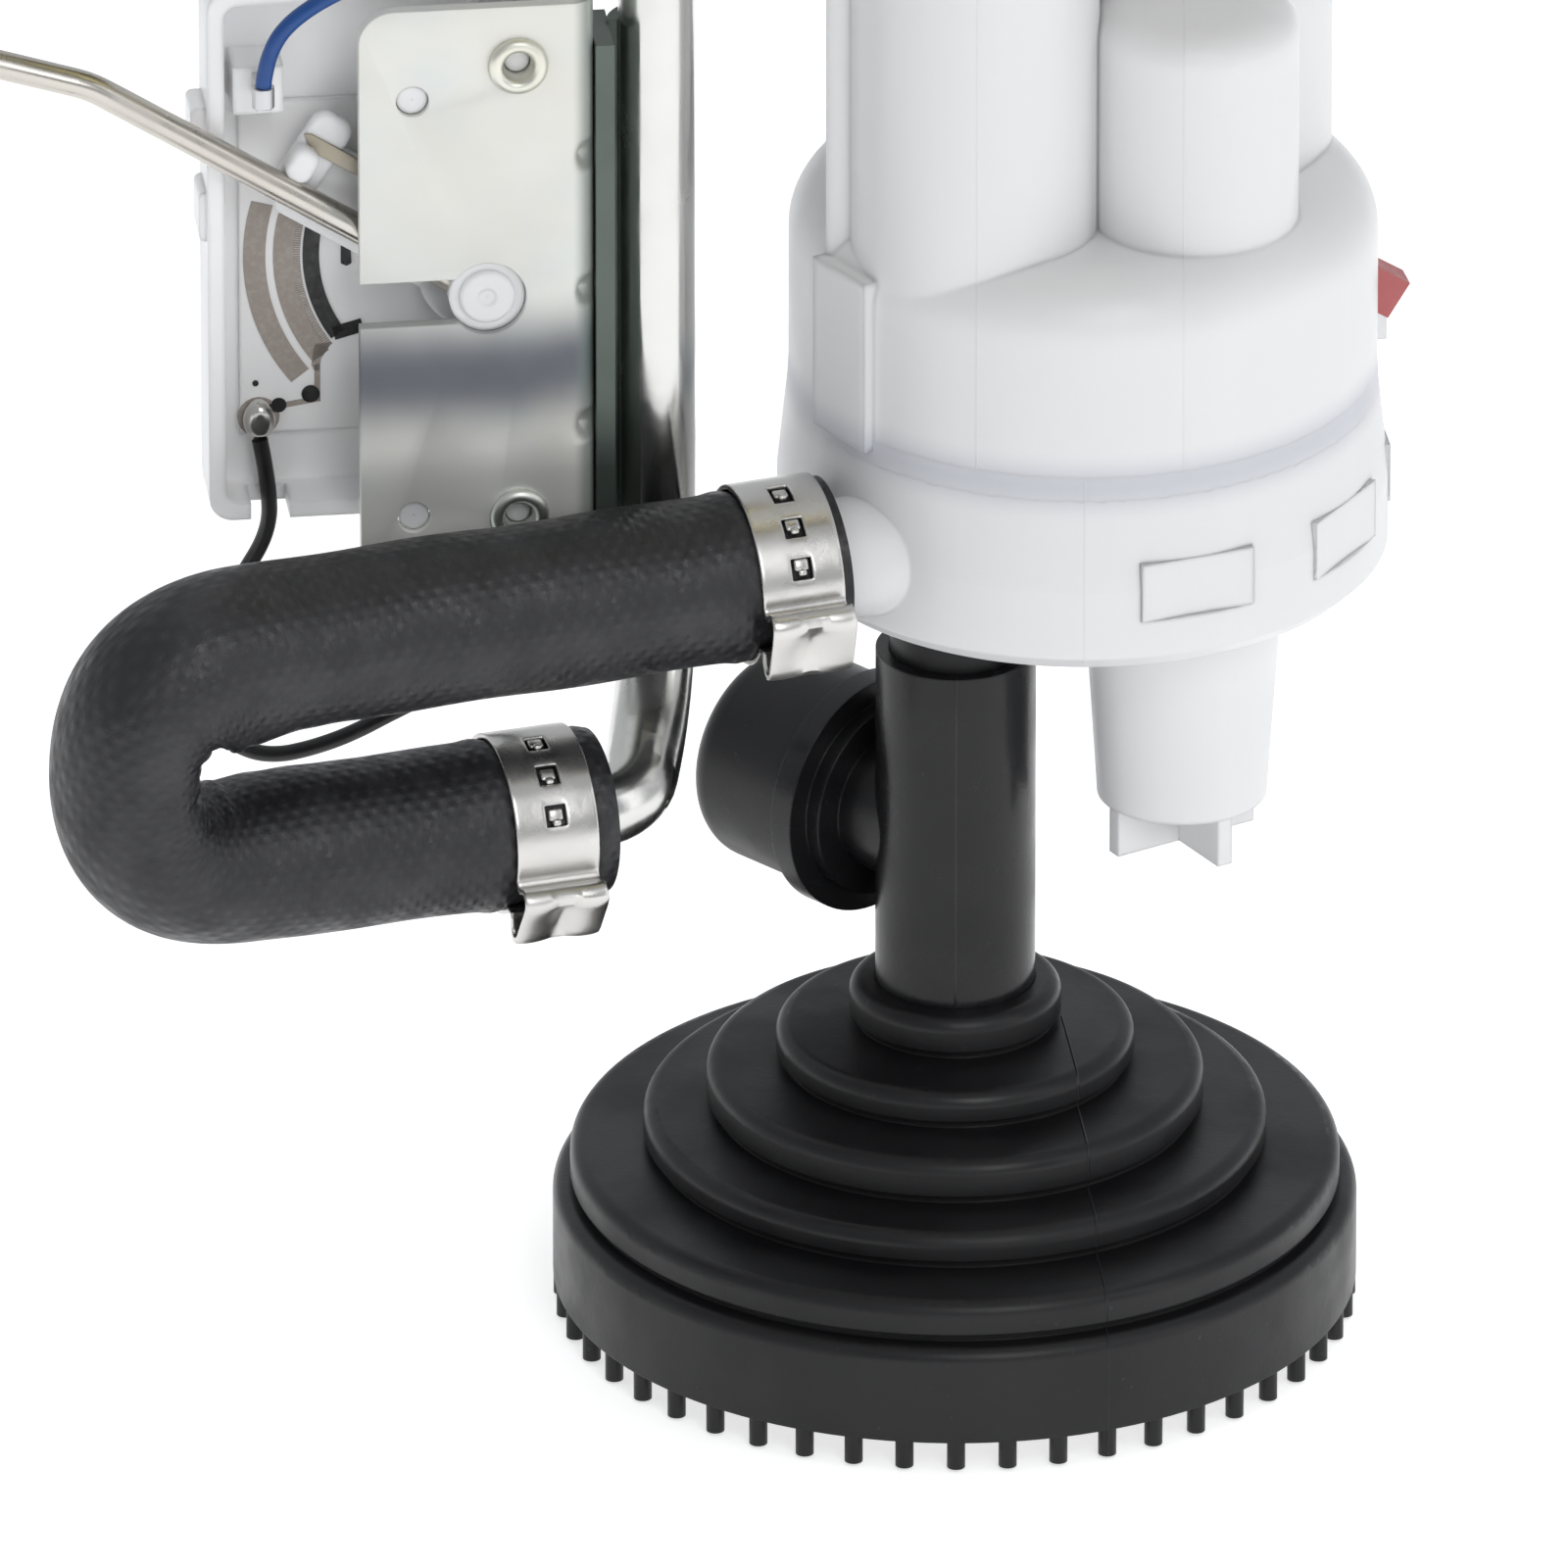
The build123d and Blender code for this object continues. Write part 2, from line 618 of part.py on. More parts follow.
# ================================================================ pump reservoir
nozzle_face = Plane(origin=hose_end - upper_dir * 15, z_dir=upper_dir)
with BuildPart() as bottom_cover:
    turned([(0, base_bottom), (skirt_radius - 1.5, base_bottom), (skirt_radius, base_bottom + 1.5),
            (skirt_radius, skirt_full_width_z), (base_radius, skirt_top + 1.6), (base_radius - 0.6, skirt_top),
            (0, skirt_top)], base_x, base_y)
    with BuildSketch(nozzle_face.offset(15.3)) as boss:
        Circle(6.3)
    extrude(boss.sketch, amount=9)
    turned([(0, base_bottom + 1), (10.2, base_bottom + 1), (10.2, base_bottom - 1), (8.8, cup_bottom),
            (0, cup_bottom)], cup_x, cup_y)
    for turn in (32, 122):
        with Locations(Location((cup_x, cup_y, fin_bottom), (0, 0, turn))):
            Box(16.6, 1.7, cup_bottom - fin_bottom + 1, align=UP)
    turned([(0, base_bottom + wall), (lip_outer_radius + 0.1, base_bottom + wall),
            (lip_outer_radius + 0.1, skirt_top), (0, skirt_top)], base_x, base_y, mode=Mode.SUBTRACT)
    turned([(0, cup_bottom + 3.4), (7.0, cup_bottom + 3.4), (8.2, base_bottom + wall), (0, base_bottom + wall)],
           cup_x, cup_y, mode=Mode.SUBTRACT)
    with Locations((cup_x, cup_y, check_pocket_bottom)):
        Cylinder(2.6, cup_bottom - check_pocket_bottom, align=UP, mode=Mode.SUBTRACT)
        Cylinder(1.28, 8, align=UP, mode=Mode.SUBTRACT)
        with PolarLocations(4.7, 4, start_angle=77):
            Cylinder(1.7, 8, align=UP, mode=Mode.SUBTRACT)
    ring(stem_x, stem_y, stem_bore + 2, stem_bore, base_bottom + wall - 0.5, -130)
    with Locations((stem_x, stem_y, base_bottom - 1)):
        Cylinder(stem_bore, 4, align=UP, mode=Mode.SUBTRACT)
    with BuildSketch(nozzle_face) as barb:
        Circle(tube_radius)
    extrude(barb.sketch, amount=16)
    with BuildSketch(nozzle_face) as nozzle_bore:
        Circle(2.9)
    extrude(nozzle_bore.sketch, amount=26, mode=Mode.SUBTRACT)
    for azimuth in window_azimuths:
        with Locations(Location((base_x, base_y, window_z), (0, 0, azimuth))):
            with Locations((skirt_radius, 0, 0)):
                Box(8, window_width, window_height, mode=Mode.SUBTRACT)
save(bottom_cover.part, "bottom_cover")

with BuildPart() as pump_housing:
    with Locations((dome_x, dome_y, dome_top)):
        Cylinder(dome_radius, dome_top - shoulder_top + 8, align=DOWN)
    fillet(pump_housing.edges().filter_by(GeomType.CIRCLE).sort_by(Axis.Z)[-1], 3.5)
    wall_bottom = skirt_top + 1.6
    turned([(0, wall_bottom), (base_radius, wall_bottom), (base_radius, shoulder_top), (0, shoulder_top)],
           base_x, base_y)
    shoulder = pump_housing.edges().filter_by(GeomType.CIRCLE)
    shoulder = shoulder.filter_by(lambda e: abs(e.radius - base_radius) < 0.01).sort_by(Axis.Z)[-1]
    fillet(shoulder, shoulder_round)
    with Locations((pickup_chamber_x, pickup_chamber_y, tower_top)):
        Cylinder(pickup_chamber_radius, tower_top - shoulder_top + 8, align=DOWN)
    with Locations((pump_x, pump_y, tower_top)):
        Cylinder(pump_tower_radius, tower_top - shoulder_top + 8, align=DOWN)
    with Locations((-3.6, pickup_chamber_y, tower_top)):
        Box(4.5, 3.0, tower_top - shoulder_top + 4, align=DOWN)
    with Locations((-3.4, pickup_chamber_y, -58)):
        Box(5.4, 12, 24, align=UP)
    with Locations(Location((base_x, base_y, wall_bottom), (0, 0, 216))):
        with Locations((base_radius - 2.2, 0, 0)):
            Box(6.0, 9.0, 19.0, align=UP)
    turned([(0, wall_bottom - 1), (base_radius - wall, wall_bottom - 1), (base_radius - wall, shoulder_top - 8),
            (base_radius - 7, shoulder_top - wall), (0, shoulder_top - wall)], base_x, base_y, mode=Mode.SUBTRACT)
    turned([(lip_inner_radius, -134), (lip_outer_radius, -134), (lip_outer_radius, wall_bottom),
            (base_radius - 1, wall_bottom), (base_radius - 1, wall_bottom + 2), (lip_inner_radius, wall_bottom + 2)],
           base_x, base_y)
    for azimuth in window_azimuths:
        with Locations(Location((base_x, base_y, window_z + 0.3), (0, 0, azimuth))):
            with Locations((skirt_radius - 0.4, 0, 0)):
                Box(6.2, window_width - 0.1, window_height - 0.7, align=(Align.MAX, Align.CENTER, Align.CENTER))
    turned([(0, -135.5), (lip_inner_radius, -135.5), (lip_inner_radius, -119), (0, -119)],
           base_x, base_y, mode=Mode.SUBTRACT)
    with Locations((valve_x, valve_y, -134)):
        Cylinder(valve_bore + 1.6, 34, align=UP)
    with Locations((pump_x, pump_y, -122)):
        Cylinder(pump_tower_bore + 1.6, 22, align=UP)
    with Locations((pump_x, pump_y, -120)):
        Cylinder(pump_tower_bore, 90, align=UP, mode=Mode.SUBTRACT)
    with Locations((pump_x, pump_y, -123)):
        Cylinder(11, 5, align=UP, mode=Mode.SUBTRACT)
    with Locations((pickup_chamber_x, pickup_chamber_y, shoulder_top - wall - 1)):
        Cylinder(pickup_chamber_bore, 90, align=UP, mode=Mode.SUBTRACT)
    with Locations((valve_x, valve_y, -135)):
        Cylinder(valve_bore, 58, align=UP, mode=Mode.SUBTRACT)
    with BuildSketch(nozzle_face.offset(14)) as passage:
        Circle(3.4)
    extrude(passage.sketch, amount=12, mode=Mode.SUBTRACT)
    for height in (-51, -43):
        with Locations((-6.2, pickup_chamber_y, height)):
            Cylinder(1.5, 9, rotation=(0, 90, 0), mode=Mode.SUBTRACT)
save(pump_housing.part, "pump_housing")

with BuildPart() as tower_cap:
    with BuildSketch(Plane.XY.offset(tower_top)):
        with Locations((pickup_chamber_x, pickup_chamber_y)):
            Circle(pickup_chamber_radius + 0.8)
        with Locations((pump_x, pump_y)):
            Circle(pump_tower_radius + 0.8)
    extrude(amount=3)
    with BuildSketch(Plane.XY.offset(tower_top)):
        with Locations((pickup_chamber_x, pickup_chamber_y)):
            Circle(pickup_chamber_bore - 0.1)
            Circle(pickup_chamber_bore - 1.7, mode=Mode.SUBTRACT)
        with Locations((pump_x, pump_y)):
            Circle(5.8)
    extrude(amount=-7)
    with Locations((pump_x, pump_y, tower_top)):
        Cylinder(tube_radius, 18, align=UP)
        Cylinder(2.6, 19, align=UP, mode=Mode.SUBTRACT)
    with Locations((pump_x, pump_y, tower_top + 1)):
        Cylinder(4.1, 8, align=DOWN, mode=Mode.SUBTRACT)
save(tower_cap.part, "tower_cap")

with BuildPart() as supply_sleeve:
    ring(pump_x, pump_y, 7.2, tube_radius + 0.02, -29, -3)
save(supply_sleeve.part, "supply_sleeve")

with BuildPart() as hanger_strap:
    with Locations((-6.9, pickup_chamber_y, -58)):
        Box(1.5, 16, 58 + flange_top - flange_sheet - 0.02, align=UP)
    with Locations((-12.5, pickup_chamber_y, flange_top - flange_sheet - 0.02)):
        Box(11.5, 16, 1.5, align=DOWN)
    fillet(hanger_strap.edges().filter_by(Axis.X).sort_by(Axis.Z)[:2], 3)
    for height in (-51, -43):
        with Locations((-6.9, pickup_chamber_y, height)):
            Cylinder(1.6, 3, rotation=(0, 90, 0), mode=Mode.SUBTRACT)
save(hanger_strap.part, "hanger_strap")

with BuildPart() as hanger_screws:
    for height in (-51, -43):
        with Locations((-7.67, pickup_chamber_y, height)):
            Cylinder(3.2, 2.0, rotation=(0, -90, 0), align=UP)
            Cylinder(1.45, 5.5, rotation=(0, 90, 0), align=UP)
        with Locations((-9.67, pickup_chamber_y, height)):
            Box(1.6, 0.8, 4.4, mode=Mode.SUBTRACT)
            Box(1.6, 4.4, 0.8, mode=Mode.SUBTRACT)
save(hanger_screws.part, "hanger_screws")

# ---------------------------------------------------------------- electric pump
case_radius = 15.0
case_bottom, case_top = -117.0, -52.0
with BuildPart() as pump_isolator:
    ring(pump_x, pump_y, pump_tower_bore - 0.05, case_radius + 0.05, case_bottom + 3, case_top - 6)
    for height in (-108, -96, -84, -72):
        ring(pump_x, pump_y, pump_tower_bore - 0.02, case_radius + 0.05, height - 0.6, height + 0.6)
save(pump_isolator.part, "pump_isolator")

with BuildPart() as pump_case:
    ring(pump_x, pump_y, case_radius, case_radius - 0.9, case_bottom, case_top)
save(pump_case.part, "pump_case")

with BuildPart() as pump_inlet_cover:
    turned([(2.1, -119.4), (8, -119.4), (8, case_bottom), (14.0, case_bottom), (14.0, -111.4), (2.1, -111.4)],
           pump_x, pump_y)
    with Locations((pump_x + 8.2, pump_y, -120)):
        Cylinder(2.2, 12, align=UP, mode=Mode.SUBTRACT)
save(pump_inlet_cover.part, "pump_inlet_cover")

with BuildPart() as pump_outlet_cover:
    turned([(2.1, -60), (14.0, -60), (14.0, case_top), (12.0, -50), (0, -50), (0, -54), (2.1, -54)],
           pump_x, pump_y)
    ring(pump_x, pump_y, 3.3, 2.1, -50.5, -36)
    with Locations((pump_x - 8, pump_y, -50.5), (pump_x + 8, pump_y, -50.5)):
        Box(5, 4, 5, align=UP)
    with Locations((pump_x, pump_y + 8, -61)):
        Cylinder(1.8, 12, align=UP, mode=Mode.SUBTRACT)
save(pump_outlet_cover.part, "pump_outlet_cover")

with BuildPart() as outlet_seal:
    ring(pump_x, pump_y, 4.08, 3.32, -39.5, -37)
save(outlet_seal.part, "outlet_seal")

with BuildPart() as pump_magnets:
    for azimuth in (0, 180):
        with BuildSketch(Plane.XY.offset(-104)):
            with BuildLine():
                inner_arc = CenterArc((pump_x, pump_y), 10.6, azimuth - 65, 130)
                outer_arc = CenterArc((pump_x, pump_y), 14.0, azimuth - 65, 130)
                Line(inner_arc @ 0, outer_arc @ 0)
                Line(inner_arc @ 1, outer_arc @ 1)
            make_face()
        extrude(amount=34)
save(pump_magnets.part, "pump_magnets")

with BuildPart() as pump_armature:
    with Locations((pump_x, pump_y, -102)):
        Cylinder(9.9, 30, align=UP)
        with PolarLocations(9.4, 8):
            Box(2.6, 1.4, 30, align=UP, mode=Mode.SUBTRACT)
    with Locations((pump_x, pump_y, -72)):
        Cylinder(6.0, 10, align=UP)
    with Locations((pump_x, pump_y, -118.6)):
        Cylinder(2.05, 64, align=UP)
save(pump_armature.part, "pump_armature")

with BuildPart() as pump_impeller:
    with Locations((pump_x, pump_y, -110.9)):
        Cylinder(12.6, 3.4, align=UP)
        Cylinder(2.05, 3.4, align=UP, mode=Mode.SUBTRACT)
        with PolarLocations(12.0, 24):
            Box(2.6, 0.9, 3.4, align=UP, mode=Mode.SUBTRACT)
save(pump_impeller.part, "pump_impeller")

with BuildPart() as pump_brushes:
    for side in (-1, 1):
        with Locations((pump_x + side * 9.0, pump_y, -66)):
            Box(5.8, 3.6, 5.9, align=UP)
save(pump_brushes.part, "pump_brushes")

# ---------------------------------------------------------------- shuttle valve
spool_bottom = -124.6
spring_bottom, spring_top = -98.9, -77.0
with BuildPart() as valve_retainer:
    ring(valve_x, valve_y, valve_bore, 4.0, -128, -125.2)
save(valve_retainer.part, "valve_retainer")

with BuildPart() as shuttle_valve:
    land = valve_bore - 0.05
    turned([(0, spool_bottom), (land, spool_bottom), (land, spool_bottom + 7.5), (3, spool_bottom + 9),
            (3, spool_bottom + 17), (land, spool_bottom + 18.5), (land, spring_bottom - 0.05),
            (0, spring_bottom - 0.05)], valve_x, valve_y)
save(shuttle_valve.part, "shuttle_valve")

with BuildPart() as valve_spring:
    with BuildLine() as coil:
        Helix(pitch=3.2, height=spring_top - spring_bottom - 1.4, radius=4.8,
              center=(valve_x, valve_y, spring_bottom + 0.7))
    with BuildSketch(Plane(origin=coil.line @ 0, z_dir=coil.line % 0)) as coil_wire:
        Circle(0.5)
    sweep(coil_wire.sketch, path=coil.line, is_frenet=True)
save(valve_spring.part, "valve_spring")

with BuildPart() as outlet_check:
    turned([(0, -159.9), (6.2, -159.9), (6.2, -158.9), (1.2, -158.1), (0, -158.1)], cup_x, cup_y)
    ring(cup_x, cup_y, 1.2, 0.0, check_pocket_bottom + 0.6, -159.5)
    with Locations((cup_x, cup_y, check_pocket_bottom + 0.35)):
        Cylinder(2.2, 0.8, align=UP)
save(outlet_check.part, "outlet_check")

# ---------------------------------------------------------------- pump supply terminal
with BuildPart() as supply_terminal:
    with Locations(Location((base_x, base_y, terminal_bottom), (0, 0, terminal_azimuth))):
        with Locations((base_radius + 0.02, 0, 0)):
            Box(1.6, 1.0, terminal_height, align=(Align.MIN, Align.CENTER, Align.MIN))
save(supply_terminal.part, "supply_terminal")

with BuildPart() as terminal_boot:
    with Locations(Location((base_x, base_y, terminal_bottom), (0, 0, terminal_azimuth))):
        with Locations(Location((base_radius + 1.0, 0, 5.8), (0, boot_lean, 0))):
            Box(3.9, 3.4, 4.4)
        with Locations((base_radius, 0, 0)):
            Box(1.64, 1.02, terminal_height + 0.02, align=(Align.MIN, Align.CENTER, Align.MIN), mode=Mode.SUBTRACT)
    with Locations((base_x, base_y, terminal_bottom)):
        Cylinder(base_radius + 0.02, 12, align=UP, mode=Mode.SUBTRACT)
save(terminal_boot.part, "terminal_boot")

# ================================================================ pick-up stem, drum and foot
with BuildPart() as inlet_neck:
    ring(stem_x, stem_y, stem_bore - 0.05, 5.2, -157, -131)
    ring(stem_x, stem_y, stem_bore, 5.2, -155.1, -152.9)
save(inlet_neck.part, "inlet_neck")

drum_ring = Vector(stem_x, stem_y, drum_z) + drum_axis * drum_ring_reach
drum_face = Plane(origin=drum_ring, x_dir=(0, 0, 1), z_dir=drum_axis)
stem_bottom = foot_tiers[0][1] - 4.4
with BuildPart() as pickup_stem:
    with Locations((stem_x, stem_y, stem_bottom)):
        Cylinder(stem_radius, stem_rim - stem_bottom, align=UP)
    with BuildSketch(drum_face.offset(-drum_ring_reach)) as port:
        Circle(7.5)
    extrude(port.sketch, amount=drum_ring_reach)
    with BuildSketch(drum_face.offset(-3.2)) as flange_disc:
        Circle(drum_ring_radius - 2.4)
    extrude(flange_disc.sketch, amount=2.0)
    with BuildSketch(drum_face.offset(-1.4)) as flange_rim:
        Circle(drum_ring_radius)
    extrude(flange_rim.sketch, amount=2.8)
    with BuildSketch(drum_face.offset(-2.6)) as rib:
        Rectangle(17, 2.0)
    extrude(rib.sketch, amount=-5)
    with Locations((stem_x, stem_y, stem_bottom - 1)):
        Cylinder(6.2, 60, align=UP, mode=Mode.SUBTRACT)
    with Locations((stem_x, stem_y, -158)):
        Cylinder(stem_bore, 20, align=UP, mode=Mode.SUBTRACT)
    with BuildSketch(drum_face.offset(-drum_ring_reach + 2)) as port_bore:
        Circle(4.5)
    extrude(port_bore.sketch, amount=drum_ring_reach, mode=Mode.SUBTRACT)
save(pickup_stem.part, "pickup_stem")

with BuildPart() as drum_cap:
    with BuildSketch(drum_face.offset(1.42)) as cap_outer:
        Circle(drum_radius)
    extrude(cap_outer.sketch, amount=drum_length)
    fillet(drum_cap.edges().filter_by(GeomType.CIRCLE).sort_by(Axis.Y)[-1], 3.0)
    with BuildSketch(drum_face.offset(1.42)) as cap_inner:
        Circle(drum_radius - 1.6)
    extrude(cap_inner.sketch, amount=drum_length - 1.8, mode=Mode.SUBTRACT)
save(drum_cap.part, "drum_cap")

with BuildPart() as inlet_diaphragm:
    with BuildSketch(drum_face.offset(1.45)) as membrane:
        Circle(drum_radius - 1.65)
    extrude(membrane.sketch, amount=1.0)
    with BuildSketch(drum_face.offset(2.45)) as bead:
        Circle(4.0)
    extrude(bead.sketch, amount=2.0)
save(inlet_diaphragm.part, "inlet_diaphragm")

lip_undercut = 0.8
with BuildPart() as pickup_foot:
    with BuildSketch(upright(stem_x, stem_y)) as foot_outline:
        with BuildLine():
            outline_points = [(6.0, foot_tiers[0][1])]
            step_bottoms = [height for radius, height in foot_tiers[1:]] + [foot_skirt_top]
            for (radius, top), bottom in zip(foot_tiers, step_bottoms):
                outline_points += [(radius, top - 0.3), (radius, bottom + 1.0), (radius - lip_undercut, bottom + 0.6),
                                   (radius - lip_undercut, bottom)]
            outline_points += [(foot_skirt_radius, foot_skirt_top), (foot_skirt_radius, foot_skirt_bottom),
                               (foot_skirt_radius - 2, foot_skirt_bottom), (foot_skirt_radius - 2, -213.5),
                               (9.0, -194.5), (6.0, -194.5)]
            Polyline(*outline_points, close=True)
        make_face()
        lip_radii = [radius for radius, height in foot_tiers] + [foot_skirt_radius]
        lip_tops = [top - 0.3 for radius, top in foot_tiers] + [foot_skirt_top]
        for lip_radius, lip_top in zip(lip_radii, lip_tops):
            fillet(foot_outline.vertices().filter_by(
                lambda v: abs(v.X - lip_radius) < 0.01 and abs(v.Y - lip_top) < 0.01), 1.5)
    revolve(foot_outline.sketch, axis=Axis((stem_x, stem_y, 0), (0, 0, 1)))
    with Locations((stem_x, stem_y, stem_bottom - 0.05)):
        Cylinder(stem_radius + 0.03, 12, align=UP, mode=Mode.SUBTRACT)
    with Locations((stem_x, stem_y, foot_skirt_bottom)):
        with PolarLocations(foot_skirt_radius - 1, foot_pin_count):
            Cylinder(foot_pin_radius, foot_pin_length, align=DOWN)
save(pickup_foot.part, "pickup_foot")

with BuildPart() as strainer_disc:
    ring(stem_x, stem_y, foot_skirt_radius - 2.05, 37.4, -217.8, -215.8)
    with Locations((stem_x, stem_y, -216.8)):
        Cylinder(38, 0.6)
        with PolarLocations(0, 3, angular_range=180):
            Box(76, 2.0, 1.8)
save(strainer_disc.part, "strainer_disc")
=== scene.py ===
"""Looks of an in-tank fuel pump and level-sender module, built round its CAD frame. Metres."""
import json
from math import atan2, cos, exp, pi, radians, sin, tan

import bmesh
import bpy
from mathutils import Matrix, Vector


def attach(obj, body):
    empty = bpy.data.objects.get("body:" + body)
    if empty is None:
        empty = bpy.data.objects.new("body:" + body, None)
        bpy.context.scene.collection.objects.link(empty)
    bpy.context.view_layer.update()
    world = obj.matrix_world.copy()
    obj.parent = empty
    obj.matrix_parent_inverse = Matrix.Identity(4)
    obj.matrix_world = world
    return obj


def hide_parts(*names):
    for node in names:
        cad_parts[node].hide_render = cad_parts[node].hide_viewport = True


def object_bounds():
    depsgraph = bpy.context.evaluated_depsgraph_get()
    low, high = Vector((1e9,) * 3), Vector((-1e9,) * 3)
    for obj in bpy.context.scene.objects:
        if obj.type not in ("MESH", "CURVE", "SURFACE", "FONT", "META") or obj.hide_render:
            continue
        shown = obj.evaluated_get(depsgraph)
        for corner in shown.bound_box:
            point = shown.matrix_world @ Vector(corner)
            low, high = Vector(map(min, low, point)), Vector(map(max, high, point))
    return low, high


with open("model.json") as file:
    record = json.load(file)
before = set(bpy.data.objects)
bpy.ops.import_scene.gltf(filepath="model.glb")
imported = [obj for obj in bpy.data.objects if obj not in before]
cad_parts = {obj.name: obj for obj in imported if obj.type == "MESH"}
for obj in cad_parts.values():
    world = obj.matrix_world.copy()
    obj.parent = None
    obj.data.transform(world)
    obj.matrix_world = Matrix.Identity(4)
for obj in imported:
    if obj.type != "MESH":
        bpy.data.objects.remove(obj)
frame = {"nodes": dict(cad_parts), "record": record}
cad_low, cad_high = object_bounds()
nodes = frame["nodes"]
scene = bpy.context.scene
MM = 0.001


# ---------------------------------------------------------------- camera
def make_camera():
    """Long lens from the front, looking down on the module."""
    elevation = radians(25.5)
    distance = 4.0
    view_width = 0.16244
    target = Vector((-0.01015, 0.0, -0.1658))
    back = Vector((0.0, -cos(elevation), sin(elevation)))
    data = bpy.data.cameras.new("camera")
    data.sensor_width = 36.0
    data.lens = 36.0 * distance / view_width
    data.clip_start, data.clip_end = 0.1, 20.0
    camera = bpy.data.objects.new("camera", data)
    camera.location = target + back * distance
    camera.rotation_mode = "QUATERNION"
    camera.rotation_quaternion = (-back).to_track_quat("-Z", "Y")
    scene.collection.objects.link(camera)
    scene.camera = camera


make_camera()

# ---------------------------------------------------------------- places taken from the CAD
# The pivot is in metres; the hose is in millimetres.
sender_turn = radians(7.0)
pivot = Vector((-40.6, -14.3, -103.5)) * MM
across = Vector((cos(sender_turn), sin(sender_turn), 0.0))
toward = Vector((sin(sender_turn), -cos(sender_turn), 0.0))
up = Vector((0.0, 0.0, 1.0))

hose_turn, hose_fall = radians(18.0), radians(1.0)
hose_radius = 8.75
hose_end = Vector((-5.6, -16.25, -132.6))
hose_upper_run, hose_lower_run, hose_bend = 63.2, 38.0, 11.75
hose_dir = Vector((cos(hose_turn), sin(hose_turn), 0.0))
upper_dir = Vector((hose_dir.x * cos(hose_fall), hose_dir.y * cos(hose_fall), sin(hose_fall)))


def sender_point(x, y, depth):
    """A point of the sender: x along the bracket, y up, depth toward the viewer, in millimetres."""
    return pivot + (across * x + toward * depth + up * y) * MM


def link(name, mesh):
    """A new object of that mesh in the scene."""
    obj = bpy.data.objects.new(name, mesh)
    scene.collection.objects.link(obj)
    return obj


def smooth(mesh, angle=35.0):
    """Smooth shading that keeps edges sharper than the angle."""
    mesh.polygons.foreach_set("use_smooth", [True] * len(mesh.polygons))
    mesh.set_sharp_from_angle(angle=radians(angle))


def from_bmesh(name, bm, angle=35.0):
    """Turns a bmesh into an object with outward normals."""
    bmesh.ops.recalc_face_normals(bm, faces=bm.faces)
    mesh = bpy.data.meshes.new(name)
    bm.to_mesh(mesh)
    bm.free()
    smooth(mesh, angle)
    return link(name, mesh)


def apply_modifier(obj, kind, **settings):
    """Adds a modifier, applies it to the mesh and leaves none behind."""
    modifier = obj.modifiers.new(kind.lower(), kind)
    for key, value in settings.items():
        setattr(modifier, key, value)
    graph = bpy.context.evaluated_depsgraph_get()
    graph.update()
    mesh = bpy.data.meshes.new_from_object(obj.evaluated_get(graph))
    old = obj.data
    obj.modifiers.clear()
    obj.data = mesh
    bpy.data.meshes.remove(old)
    return obj


def lathe(bm, profile, origin, axis, steps=48):
    """Turns a closed (radius, height) profile, in millimetres, about the axis through origin."""
    side = axis.orthogonal().normalized()
    other = axis.cross(side).normalized()
    rings = []
    for radius, height in profile:
        ring = []
        for step in range(steps):
            angle = 2 * pi * step / steps
            offset = side * cos(angle) * radius + other * sin(angle) * radius + axis * height
            ring.append(bm.verts.new(origin + offset * MM))
        rings.append(ring)
    for index, ring in enumerate(rings):
        following = rings[(index + 1) % len(rings)]
        for step in range(steps):
            after = (step + 1) % steps
            bm.faces.new([ring[step], ring[after], following[after], following[step]])


